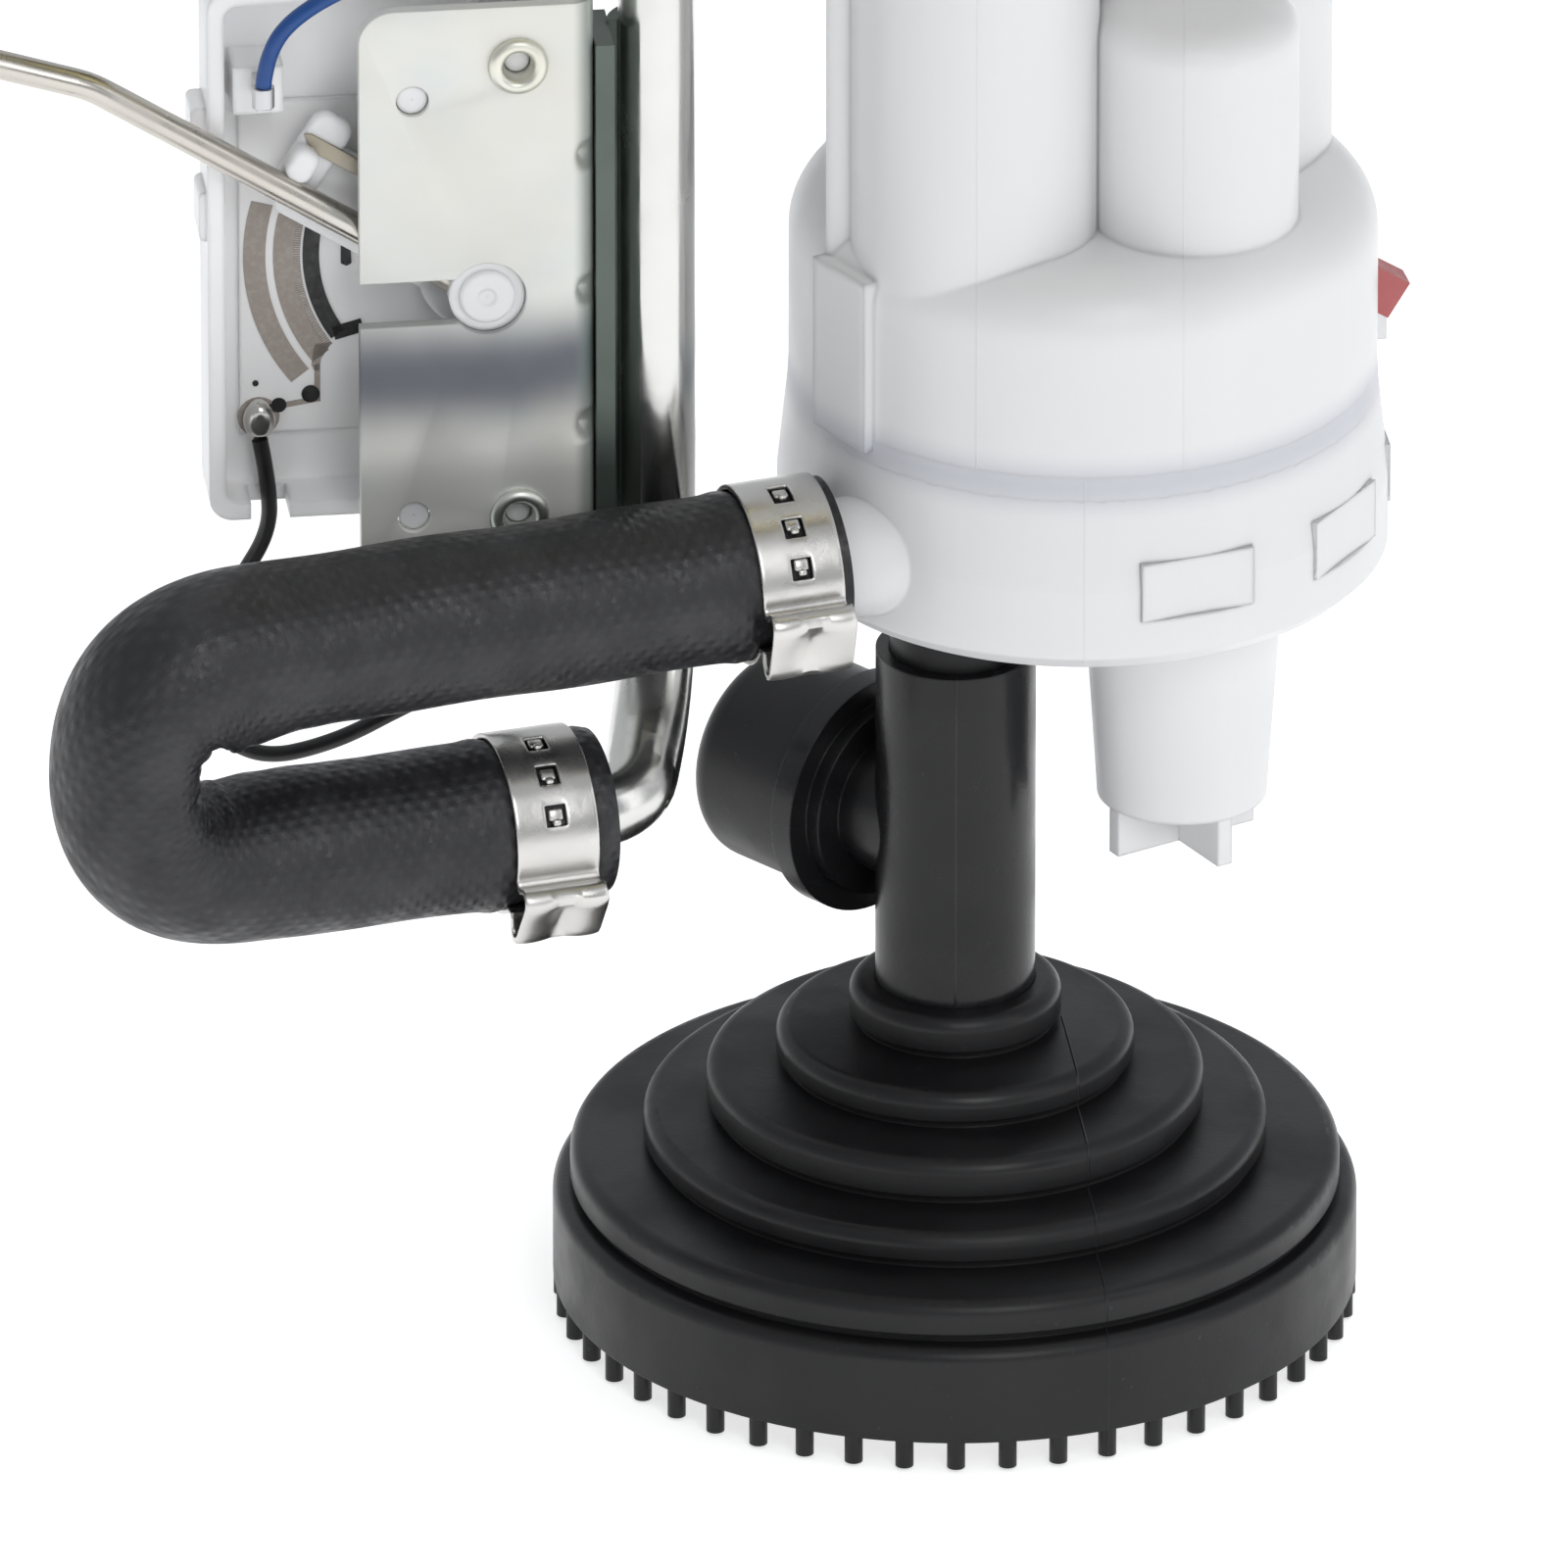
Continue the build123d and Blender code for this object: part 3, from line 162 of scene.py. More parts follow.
# ---------------------------------------------------------------- procedural finishes
class Finish:
    """One material built from nodes, in object coordinates (metres)."""

    def __init__(self, name, color, rough, metallic=0.0, uses_uv=False):
        self.material = bpy.data.materials.new(name)
        self.material.use_nodes = True
        self.tree = self.material.node_tree
        self.shader = self.tree.nodes["Principled BSDF"]
        self.shader.inputs["Base Color"].default_value = (*color, 1.0)
        self.shader.inputs["Roughness"].default_value = rough
        self.shader.inputs["Metallic"].default_value = metallic
        self.base = color
        coords = self.tree.nodes.new("ShaderNodeTexCoord")
        self.place = coords.outputs["UV" if uses_uv else "Object"]
        self.normal = None

    def node(self, kind, **settings):
        made = self.tree.nodes.new(kind)
        for key, value in settings.items():
            setattr(made, key, value)
        return made

    def join(self, output, socket):
        self.tree.links.new(output, socket)

    def stretched(self, scale=(1, 1, 1), turn=(0, 0, 0)):
        """The coordinates scaled and turned, for grain that runs one way."""
        mapping = self.node("ShaderNodeMapping")
        mapping.inputs["Scale"].default_value = scale
        mapping.inputs["Rotation"].default_value = [radians(a) for a in turn]
        self.join(self.place, mapping.inputs["Vector"])
        return mapping.outputs["Vector"]

    def noise(self, scale, detail=3.0, place=None):
        made = self.node("ShaderNodeTexNoise")
        made.inputs["Scale"].default_value = scale
        made.inputs["Detail"].default_value = detail
        made.inputs["Roughness"].default_value = 0.55
        self.join(place or self.place, made.inputs["Vector"])
        return made.outputs["Fac"]

    def wave(self, scale, place=None, distortion=0.0, axis="X"):
        made = self.node("ShaderNodeTexWave", bands_direction=axis)
        made.inputs["Scale"].default_value = scale
        made.inputs["Distortion"].default_value = distortion
        self.join(place or self.place, made.inputs["Vector"])
        return made.outputs["Fac"]

    def voronoi(self, scale):
        made = self.node("ShaderNodeTexVoronoi")
        made.inputs["Scale"].default_value = scale
        self.join(self.place, made.inputs["Vector"])
        return made.outputs["Distance"]

    def axis(self, letter):
        parts = self.node("ShaderNodeSeparateXYZ")
        self.join(self.place, parts.inputs[0])
        return parts.outputs[letter]

    def math(self, operation, first, second=None, clamp=False):
        made = self.node("ShaderNodeMath", operation=operation, use_clamp=clamp)
        for socket, value in zip(made.inputs, (first, second)):
            if value is None:
                continue
            if isinstance(value, (int, float)):
                socket.default_value = value
            else:
                self.join(value, socket)
        return made.outputs[0]

    def band(self, value, centre, half_width):
        """Nearly 1 at the centre of a soft band, 0 outside it."""
        off = self.math("ABSOLUTE", self.math("SUBTRACT", value, centre))
        inside = self.math("SUBTRACT", 1.0, self.math("DIVIDE", off, half_width), clamp=True)
        return self.math("SMOOTH_MIN", inside, 1.0)

    def spread(self, value, low, high, out_low=0.0, out_high=1.0):
        made = self.node("ShaderNodeMapRange", interpolation_type="SMOOTHSTEP")
        numbers = (low, high, out_low, out_high)
        for key, number in zip(("From Min", "From Max", "To Min", "To Max"), numbers):
            made.inputs[key].default_value = number
        self.join(value, made.inputs["Value"])
        return made.outputs["Result"]

    def tint(self, mask, color):
        """Mixes a colour over what the base colour has so far, where the mask is 1."""
        made = self.node("ShaderNodeMix", data_type="RGBA")
        self.join(mask, made.inputs["Factor"])
        socket = self.shader.inputs["Base Color"]
        if socket.is_linked:
            self.join(socket.links[0].from_socket, made.inputs["A"])
        else:
            made.inputs["A"].default_value = (*self.base, 1.0)
        made.inputs["B"].default_value = (*color, 1.0)
        self.join(made.outputs["Result"], socket)

    def rough(self, value, low, high, out_low, out_high):
        self.join(self.spread(value, low, high, out_low, out_high), self.shader.inputs["Roughness"])

    def bump(self, height, distance, strength=1.0):
        """Adds relief of that height in metres on top of what is there."""
        made = self.node("ShaderNodeBump")
        made.inputs["Strength"].default_value = strength
        made.inputs["Distance"].default_value = distance
        self.join(height, made.inputs["Height"])
        if self.normal:
            self.join(self.normal, made.inputs["Normal"])
        self.normal = made.outputs["Normal"]
        self.join(self.normal, self.shader.inputs["Normal"])

    def worn_edges(self, radius):
        """Rounds edges by a small radius, so that they catch the light."""
        made = self.node("ShaderNodeBevel", samples=4)
        made.inputs["Radius"].default_value = radius
        self.normal = made.outputs["Normal"]
        self.join(self.normal, self.shader.inputs["Normal"])


def white_plastic(name, color=(0.84, 0.84, 0.85), clear=0.25, seams=(), groove_shadow=False, rough=0.36,
                  edge=0.0006):
    """Natural moulded acetal: slightly translucent, faint flow marks, parting lines, and on request a painted
    shadow along the joint groove.
    """
    f = Finish(name, color, rough)
    s = f.shader.inputs
    s["Subsurface Weight"].default_value = clear
    s["Subsurface Radius"].default_value = (1.0, 0.95, 0.9)
    s["Subsurface Scale"].default_value = 0.0025
    s["IOR"].default_value = 1.48
    f.worn_edges(edge)
    cloud = f.noise(38.0, 4.0, f.stretched((1, 1, 0.35)))
    f.tint(f.spread(cloud, 0.42, 0.72, 0.0, 0.3), (0.74, 0.745, 0.77))
    flow = f.noise(160.0, 3.0, f.stretched((1, 1, 0.06)))
    f.tint(f.spread(flow, 0.5, 0.8, 0.0, 0.16), (0.86, 0.85, 0.85))
    if groove_shadow:
        # Painted shade: a soft bluish-grey dark band round the joint groove, standing in for the shadow in
        # the gap.
        groove_shadow_z = -0.1205
        groove_shadow_half_width = 0.0040
        shadow = f.spread(f.band(f.axis("Z"), groove_shadow_z, groove_shadow_half_width), 0.0, 1.0)
        f.tint(f.math("MULTIPLY", shadow, 0.55), (0.44, 0.46, 0.54))
    for seam in seams:
        line = f.band(f.axis("X"), seam * MM, 0.00014)
        front = f.math("LESS_THAN", f.axis("Y"), 0.004)
        line = f.math("MULTIPLY", line, front)
        f.tint(f.math("MULTIPLY", line, 0.22), (0.62, 0.62, 0.64))
        f.bump(line, 0.00004)
    f.bump(f.noise(1500.0, 2.0), 0.000012)
    f.bump(f.noise(120.0, 2.0), 0.00006, 0.5)
    f.rough(f.noise(90.0, 3.0), 0.3, 0.75, rough - 0.06, rough + 0.1)
    return f.material


def black_plastic(name, color=(0.0075, 0.0075, 0.0085), rough=0.36, seam=None):
    """Satin black moulding with a fine grain, handling marks and a parting line."""
    f = Finish(name, color, rough)
    f.shader.inputs["Specular IOR Level"].default_value = 0.36
    f.worn_edges(0.0003)
    f.tint(f.spread(f.noise(60.0, 5.0), 0.45, 0.75, 0.0, 0.6), (0.012, 0.012, 0.0135))
    dust = f.noise(900.0, 2.0)
    f.tint(f.spread(dust, 0.68, 0.8, 0.0, 0.35), (0.05, 0.05, 0.052))
    if seam is not None:
        seam_x, slant = seam
        slanted = f.math("ADD", f.axis("X"), f.math("MULTIPLY", f.axis("Y"), slant))
        line = f.band(slanted, seam_x, 0.00016)
        line = f.math("MULTIPLY", line, f.math("LESS_THAN", f.axis("Y"), -0.004))
        f.bump(line, 0.00012)
        f.tint(f.math("MULTIPLY", line, 0.3), (0.05, 0.05, 0.055))
    f.bump(f.noise(2200.0, 2.0), 0.000015)
    f.bump(f.noise(180.0, 3.0), 0.00005, 0.6)
    f.rough(f.noise(75.0, 4.0), 0.3, 0.7, rough - 0.05, rough + 0.14)
    return f.material


def rubber(name, color=(0.020, 0.020, 0.022), rough=0.52, grain=1400.0):
    """Moulded rubber: matt, slightly bloomed, with a fine grain."""
    f = Finish(name, color, rough)
    f.shader.inputs["Specular IOR Level"].default_value = 0.4
    f.worn_edges(0.0003)
    f.tint(f.spread(f.noise(70.0, 4.0), 0.4, 0.7, 0.0, 0.6), (0.034, 0.034, 0.037))
    f.bump(f.noise(grain, 3.0), 0.00003)
    f.rough(f.noise(60.0, 4.0), 0.3, 0.7, rough - 0.06, rough + 0.12)
    return f.material


def hose_rubber():
    """Charcoal hose with the faint cross-hatched print of the cloth wrap it was cured in."""
    f = Finish("hose_rubber", (0.013, 0.013, 0.0148), 0.40, uses_uv=True)
    f.shader.inputs["Specular IOR Level"].default_value = 0.5
    blotch = f.noise(0.16, 5.0)
    f.tint(f.spread(blotch, 0.4, 0.7, 0.0, 0.8), (0.026, 0.026, 0.029))
    bias = f.wave(0.22, f.stretched(turn=(0, 0, 52)), 0.6)
    cross = f.wave(0.22, f.stretched(turn=(0, 0, -52)), 0.6)
    wrap = f.math("MULTIPLY", bias, cross)
    f.tint(f.math("MULTIPLY", wrap, 0.16), (0.040, 0.040, 0.045))
    f.bump(wrap, 0.00014, 0.55)
    f.bump(f.noise(0.5, 4.0), 0.00022, 0.5)
    f.bump(f.noise(5.0, 3.0), 0.00005, 0.7)
    f.rough(f.noise(0.3, 4.0), 0.3, 0.7, 0.32, 0.56)
    return f.material


def brushed_metal(name, color, rough, grain=(1, 1, 1), tints=(), band=None, metallic=1.0, fold=None):
    """Metal with drawing or rolling lines along one way, patchy tints, and on request a painted reflection
    band and a painted reflection strip along a fold.
    """
    f = Finish(name, color, rough, metallic)
    f.worn_edges(0.0002)
    lines = f.noise(900.0, 3.0, f.stretched(grain))
    for scale, low, high, amount, tint in tints:
        f.tint(f.spread(f.noise(scale, 5.0), low, high, 0.0, amount), tint)
    if band:
        # Painted reflection: a wavy dark band across the metal, standing in for dark surroundings mirrored in
        # it.
        middle, half_width, tint, amount = band
        waviness = 0.006
        wavy = f.math("ADD", f.axis("Z"), f.math("MULTIPLY", f.noise(30.0, 3.0), waviness))
        inside = f.band(wavy, middle + waviness / 2, half_width)
        inside = f.spread(inside, 0.0, 0.9)
        f.tint(f.math("MULTIPLY", inside, amount), tint)
    if fold:
        # Painted reflection: a dark green strip along the fold, standing in for the dark surroundings the
        # bend mirrors.
        fold_reflection_mask = f.spread(f.band(f.axis("X"), fold[0], fold[1]), 0.0, 0.8)
        f.tint(f.math("MULTIPLY", fold_reflection_mask, 0.62), (0.17, 0.22, 0.20))
    f.bump(lines, 0.000012)
    f.bump(f.noise(240.0, 3.0), 0.00002, 0.5)
    f.rough(f.noise(110.0, 5.0), 0.3, 0.75, rough - 0.06, rough + 0.14)
    return f.material


def insulation(name, color, light):
    """Glossy wire insulation with faint drawing lines along it."""
    f = Finish(name, color, 0.34)
    f.tint(f.spread(f.noise(300.0, 3.0), 0.45, 0.75, 0.0, 0.5), light)
    f.bump(f.noise(1200.0, 2.0), 0.00002)
    f.rough(f.noise(500.0, 3.0), 0.3, 0.7, 0.28, 0.45)
    return f.material


def ink(name, color, light, rough=0.5):
    """Printed thick-film ink: grainy, slightly uneven."""
    f = Finish(name, color, rough)
    f.tint(f.spread(f.noise(1500.0, 4.0), 0.4, 0.7, 0.0, 0.6), light)
    f.bump(f.noise(3500.0, 2.0), 0.00001)
    f.rough(f.noise(800.0, 3.0), 0.3, 0.7, rough - 0.1, rough + 0.15)
    return f.material


def foam():
    """Closed-cell float foam with small pores."""
    f = Finish("float_foam", (0.028, 0.026, 0.024), 0.78)
    f.worn_edges(0.0005)
    cells = f.voronoi(1100.0)
    f.tint(f.spread(cells, 0.0, 0.3, 0.5, 0.0), (0.012, 0.011, 0.010))
    f.tint(f.spread(f.noise(80.0, 5.0), 0.4, 0.7, 0.0, 0.5), (0.05, 0.046, 0.042))
    f.bump(cells, 0.00018)
    f.bump(f.noise(300.0, 3.0), 0.0001, 0.5)
    return f.material


def mesh_cloth():
    """Woven nylon strainer."""
    f = Finish("mesh_nylon", (0.42, 0.43, 0.42), 0.6)
    weave = f.math("MULTIPLY", f.wave(700.0, axis="X"), f.wave(700.0, axis="Y"))
    f.tint(f.spread(weave, 0.0, 0.4, 0.7, 0.0), (0.08, 0.085, 0.08))
    f.bump(weave, 0.0001)
    f.rough(f.noise(90.0, 3.0), 0.3, 0.7, 0.5, 0.7)
    return f.material


zinc_tints = (
    (45.0, 0.42, 0.68, 0.55, (0.80, 0.76, 0.62)),
    (70.0, 0.50, 0.75, 0.50, (0.60, 0.70, 0.74)),
    (120.0, 0.52, 0.74, 0.35, (0.78, 0.70, 0.60)),
)
steel_tints = ((60.0, 0.45, 0.75, 0.4, (0.62, 0.62, 0.60)),)
finishes = {
    "zinc_plate": brushed_metal("zinc_plate", (0.68, 0.70, 0.66), 0.36, (0.2, 1, 1), zinc_tints),
    "bright_steel": brushed_metal("bright_steel", (0.70, 0.70, 0.68), 0.17, (1, 1, 0.04), steel_tints),
    "rod_steel": brushed_metal("rod_steel", (0.60, 0.57, 0.52), 0.24, (0.05, 1, 0.2), steel_tints),
    "stainless": brushed_metal("stainless", (0.66, 0.65, 0.63), 0.27, (1, 0.1, 1), steel_tints),
    "tinned": brushed_metal("tinned", (0.62, 0.62, 0.64), 0.32, (1, 1, 1), steel_tints),
    "solder": brushed_metal("solder", (0.60, 0.59, 0.56), 0.20, (1, 1, 1), steel_tints),
    "contact_metal": brushed_metal("contact_metal", (0.40, 0.36, 0.28), 0.38, (1, 1, 0.2), steel_tints),
    "yellow_steel": brushed_metal("yellow_steel", (0.68, 0.62, 0.36), 0.36, (1, 1, 1), (
        (40.0, 0.42, 0.70, 0.7, (0.74, 0.54, 0.34)), (60.0, 0.45, 0.75, 0.6, (0.48, 0.62, 0.50)))),
    "magnet": brushed_metal("magnet", (0.10, 0.10, 0.105), 0.5),
    "copper_iron": brushed_metal("copper_iron", (0.46, 0.28, 0.18), 0.38, (1, 1, 12), steel_tints),
    "carbon": rubber("carbon", (0.03, 0.03, 0.032), 0.45, 2500.0),
    "white_acetal": white_plastic("white_acetal"),
    "white_clear": white_plastic("white_clear", (0.80, 0.80, 0.80), 0.45, rough=0.3),
    "ceramic": white_plastic("ceramic", (0.83, 0.825, 0.81), 0.1, rough=0.42),
    "black_plastic": black_plastic("black_plastic"),
    "black_rubber": rubber("black_rubber"),
    "seal_rubber": rubber("seal_rubber", (0.016, 0.016, 0.016), 0.42),
    "float_foam": foam(),
    "track_ink": ink("track_ink", (0.34, 0.295, 0.26), (0.42, 0.38, 0.345)),
    "blue_insulation": insulation("blue_insulation", (0.006, 0.060, 0.245), (0.010, 0.085, 0.31)),
    "black_insulation": insulation("black_insulation", (0.010, 0.010, 0.011), (0.022, 0.022, 0.024)),
    "red_plastic": insulation("red_plastic", (0.42, 0.10, 0.10), (0.52, 0.15, 0.14)),
    "mesh_nylon": mesh_cloth(),
}
housing_white = white_plastic("housing_white", (0.77, 0.77, 0.775), seams=(9.6, 30.8), groove_shadow=True,
                              edge=0.0015)
cover_white = white_plastic("cover_white", (0.77, 0.77, 0.775), seams=(20.7,), groove_shadow=True)
# Painted light: brighter copies of the white acetal and the ceramic, lifting the sender frame, carrier and
# card out of the shade of their recess.
lit_sender_white = white_plastic("lit_sender_white", (0.93, 0.93, 0.935), 0.35, edge=0.0009)
lit_card_white = white_plastic("lit_card_white", (0.95, 0.945, 0.94), 0.1, rough=0.42)
foot_black = black_plastic("foot_black", seam=(0.0182, 0.12))
stem_black = black_plastic("stem_black", seam=(0.0076, 0.0), rough=0.24)
carbon_ink = ink("carbon_ink", (0.012, 0.012, 0.013), (0.03, 0.03, 0.03), 0.35)
plate_tints = (
    (45.0, 0.42, 0.68, 0.40, (0.75, 0.72, 0.64)),
    (70.0, 0.50, 0.75, 0.45, (0.64, 0.71, 0.73)),
)
# Painted reflection on the bracket: a wavy dark band across the plate above the hose.
painted_reflection_band = (-0.1109, 0.0092, (0.09, 0.10, 0.125), 0.94)
# Painted reflection along the bracket's fold: a dark green strip.
painted_fold_reflection = (-0.0300, 0.0019)
bracket_zinc = brushed_metal("bracket_zinc", (0.76, 0.765, 0.73), 0.40, (0.2, 1, 1), plate_tints,
                             band=painted_reflection_band, metallic=0.28, fold=painted_fold_reflection)
# Painted shade: the tube saddle gets a dark copy of the zinc, standing in for the shade on the strip between
# the bracket's fold and the tube.
shaded_zinc = brushed_metal("shaded_zinc", (0.115, 0.14, 0.125), 0.38, (1, 1, 0.1), metallic=0.6)
special = {"pump_housing": housing_white, "bottom_cover": cover_white, "pickup_foot": foot_black,
           "pickup_stem": stem_black, "sender_frame": lit_sender_white, "resistor_card": lit_card_white,
           "tube_saddle": shaded_zinc}


def paint(obj, material):
    """Gives the whole object one material."""
    obj.data.materials.clear()
    obj.data.materials.append(material)


for entry in frame["record"]["subparts"]:
    name = entry["node"]
    paint(nodes[name], special.get(name, finishes[entry["material_slot"]]))
    smooth(nodes[name].data, 30.0)


def finish_piece(obj, slot, material=None, body="module"):
    """Material and body of a new piece; the slot picks the finish when no material is given."""
    paint(obj, material or finishes[slot])
    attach(obj, body)
    return obj


# ---------------------------------------------------------------- cords
def route_curve(name, points, radius):
    """A smooth line through the stretch that the route's points control."""
    data = bpy.data.curves.new(name, "CURVE")
    data.dimensions = "3D"
    spline = data.splines.new("NURBS")
    spline.points.add(len(points) - 1)
    for point, place in zip(spline.points, points):
        point.co = (*place, 1.0)
    spline.order_u = 3
    spline.use_endpoint_u = True
    spline.resolution_u = 16
    data.bevel_depth = radius
    data.bevel_resolution = 5
    data.use_fill_caps = radius > 0
    return link(name, data)


def route_line(points):
    """Points along a route's smooth line, read from its own spline."""
    curve = route_curve("route", points, 0.0)
    curve.data.resolution_u = 24
    curve.data.splines[0].resolution_u = 24
    graph = bpy.context.evaluated_depsgraph_get()
    mesh = bpy.data.meshes.new_from_object(curve.evaluated_get(graph))
    line = [v.co.copy() for v in mesh.vertices]
    bpy.data.objects.remove(curve)
    bpy.data.meshes.remove(mesh)
    return line


def line_length(line):
    """Length along the points, in metres."""
    return sum((b - a).length for a, b in zip(line, line[1:]))


def metres(points):
    """Points in metres from points in millimetres."""
    return [Vector(p) * MM for p in points]


terminal_place = (-23.0, 22.4)
solder_place = (-22.7, -16.5)
wire_radius = 0.85 * MM
blue_points = [
    sender_point(terminal_place[0], terminal_place[1] + 2.66, 0.4),
    sender_point(terminal_place[0] + 0.4, terminal_place[1] + 6.6, 0.5),
] + metres([
    (-59.8, -17.6, -70.2),
    (-52.6, -16.6, -66.6),
    (-42.8, -11.6, -62.2),
    (-33.0, 0.5, -52.0),
    (-26.6, 12.0, -36.0),
    (-22.8, 21.0, -22.0),
    (-20.5, 26.0, -13.5),
    (-20.5, 26.4, -6.0),
])
black_points = [sender_point(solder_place[0], solder_place[1] - 2.13, -7.9)] + metres([
    (-63.3, -9.3, -126.4),
    (-63.0, -9.2, -132.3),
    (-66.4, -9.0, -138.4),
    (-70.3, -9.0, -145.6),
    (-70.4, -9.5, -153.4),
    (-64.8, -10.0, -158.3),
    (-56.6, -10.3, -156.2),
    (-48.8, -10.8, -151.4),
    (-42.0, -11.4, -147.8),
    (-38.1, -11.7, -142.9),
]) + [sender_point(3.2, -34.45, -2.2)]


def make_wire(name, node, points, slot):
    """A round wire along its route."""
    wire = route_curve(name, points, wire_radius)
    finish_piece(wire, slot)
    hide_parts(node)
    line_length(route_line(points))


make_wire("blue_sender_wire", "blue_wire", blue_points, "blue_insulation")
make_wire("black_ground_wire", "black_wire", black_points, "black_insulation")


# ---------------------------------------------------------------- moulded hose
def hose_route():
    """The hose's control points: two legs and the two corners of its bend."""
    fall = tan(hose_fall)
    low = -hose_upper_run * fall - 2 * hose_bend
    reach = hose_upper_run + hose_bend
    flat = [
        (0.0, 0.0),
        (-18.0, -18.0 * fall),
        (-hose_upper_run + hose_bend, (-hose_upper_run + hose_bend) * fall),
        (-reach, -reach * fall),
        (-reach, low),
        (-hose_upper_run + hose_bend, low),
        (-hose_upper_run + hose_lower_run, low),
    ]
    return [(hose_end + hose_dir * x + up * y) * MM for x, y in flat]


def make_hose():
    """Swept tube: folded inside its bend, pinched under the clamps, rounded at the ends."""
    rings_per_mm = 1.6
    sides = 72
    bore_radius = 4.02
    line = route_line(hose_route())
    total = line_length(line)
    count = int(total / MM * rings_per_mm)
    samples = []
    travelled, index = 0.0, 0
    for step in range(count + 1):
        wanted = total * step / count
        while index < len(line) - 2 and travelled + (line[index + 1] - line[index]).length < wanted:
            travelled += (line[index + 1] - line[index]).length
            index += 1
        piece = line[index + 1] - line[index]
        samples.append(line[index] + piece * ((wanted - travelled) / piece.length))
    side = up.cross(hose_dir).normalized()
    bend_middle = (hose_upper_run + hose_bend * pi / 2) * MM
    bm = bmesh.new()
    uv_layer = bm.loops.layers.uv.new("UVMap")

    def ring_at(step, inner):
        here = samples[step]
        before = samples[max(step - 1, 0)]
        after = samples[min(step + 1, count)]
        along = (after - before).normalized()
        outward = along.cross(side).normalized()
        distance = total * step / count
        bent = exp(-(((distance - bend_middle) / (13.5 * MM)) ** 2))
        wide_bent = exp(-(((distance - bend_middle) / (20.0 * MM)) ** 2))
        lower_bent = exp(-(((distance - bend_middle - 2.5 * MM) / (12.5 * MM)) ** 2))
        fold = exp(-(((distance - bend_middle + 15.0 * MM) / (7.0 * MM)) ** 2))
        travel = distance / MM
        end_gap = min(distance, total - distance) / MM
        radius = hose_radius - 0.25 * exp(-(end_gap ** 2))
        clamp_gap = end_gap - (5.5 if distance < total / 2 else 6.9)
        radius -= 0.35 * exp(-((clamp_gap / 4.2) ** 4)) - 0.25 * exp(-(((abs(clamp_gap) - 5.6) / 1.1) ** 2))
        made = []
        for turn in range(sides):
            angle = 2 * pi * turn / sides
            if inner:
                size = bore_radius - 0.8 * wide_bent
                offset = (outward * cos(angle) + side * sin(angle)) * size
            else:
                inside = max(0.0, cos(angle)) ** 1.5
                outside = max(0.0, -cos(angle))
                wrinkle = sin((travel - 0.8) * 2 * pi / 2.9) * 0.30 * bent * inside
                near_inside = max(0.0, cos(angle) + 0.35)
                wrinkle += sin(travel * 2 * pi / 5.1 + 1.3) * 0.16 * wide_bent * near_inside
                pinch = 2.9 * lower_bent * inside
                reach = radius - pinch + 2.0 * fold * inside - 0.3 * bent * outside + wrinkle
                lumps = 0.10 * sin(travel * 0.31 + 2.0 * sin(angle)) + 0.07 * sin(3 * angle + travel * 0.12)
                wide = radius + 0.55 * bent + lumps
                offset = outward * cos(angle) * (reach + lumps) + side * sin(angle) * wide
            made.append(bm.verts.new(here + offset * MM))
        return made

    def skin(first, second, step, flip):
        for turn in range(sides):
            following = (turn + 1) % sides
            corners = [first[turn], first[following], second[following], second[turn]]
            marks = [(turn, step), (turn + 1, step), (turn + 1, step + 1), (turn, step + 1)]
            if flip:
                corners.reverse()
                marks.reverse()
            face = bm.faces.new(corners)
            for loop, (u, v) in zip(face.loops, marks):
                loop[uv_layer].uv = (u * 2 * pi * hose_radius / sides, v / rings_per_mm)

    outer = [ring_at(step, False) for step in range(count + 1)]
    inner = [ring_at(step, True) for step in range(count + 1)]
    for step in range(count):
        skin(outer[step], outer[step + 1], step, False)
        skin(inner[step], inner[step + 1], step, True)
    skin(outer[0], inner[0], 0, True)
    skin(outer[-1], inner[-1], count, False)
    hose = from_bmesh("moulded_hose", bm, 50.0)
    finish_piece(hose, "black_rubber", hose_rubber())
    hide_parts("return_hose")


make_hose()


# ---------------------------------------------------------------- hose clamps
def clamp_profile(band):
    """Section of the band and its ear round the hose, as (angle, radius); 0 is the ear's middle."""
    rise = 3.5
    ear_half_angle = 17.0
    profile = []
    for step in range(73):
        angle = radians(ear_half_angle + step * (360.0 - 2 * ear_half_angle) / 72)
        profile.append((cos(angle) * band, sin(angle) * band))
    ear = [(-2.35, band + 0.1), (-2.1, band + 0.7), (-2.5, band + 1.3), (-3.2, band + 1.8),
           (-3.55, band + 2.4), (-3.45, band + 3.0), (-3.0, band + rise - 0.1), (-2.2, band + rise),
           (-1.1, band + rise), (0.0, band + rise)]
    left = [(radius, across_ear) for across_ear, radius in ear]
    right = [(radius, -across_ear) for radius, across_ear in reversed(left[:-1])]
    return profile + left + right


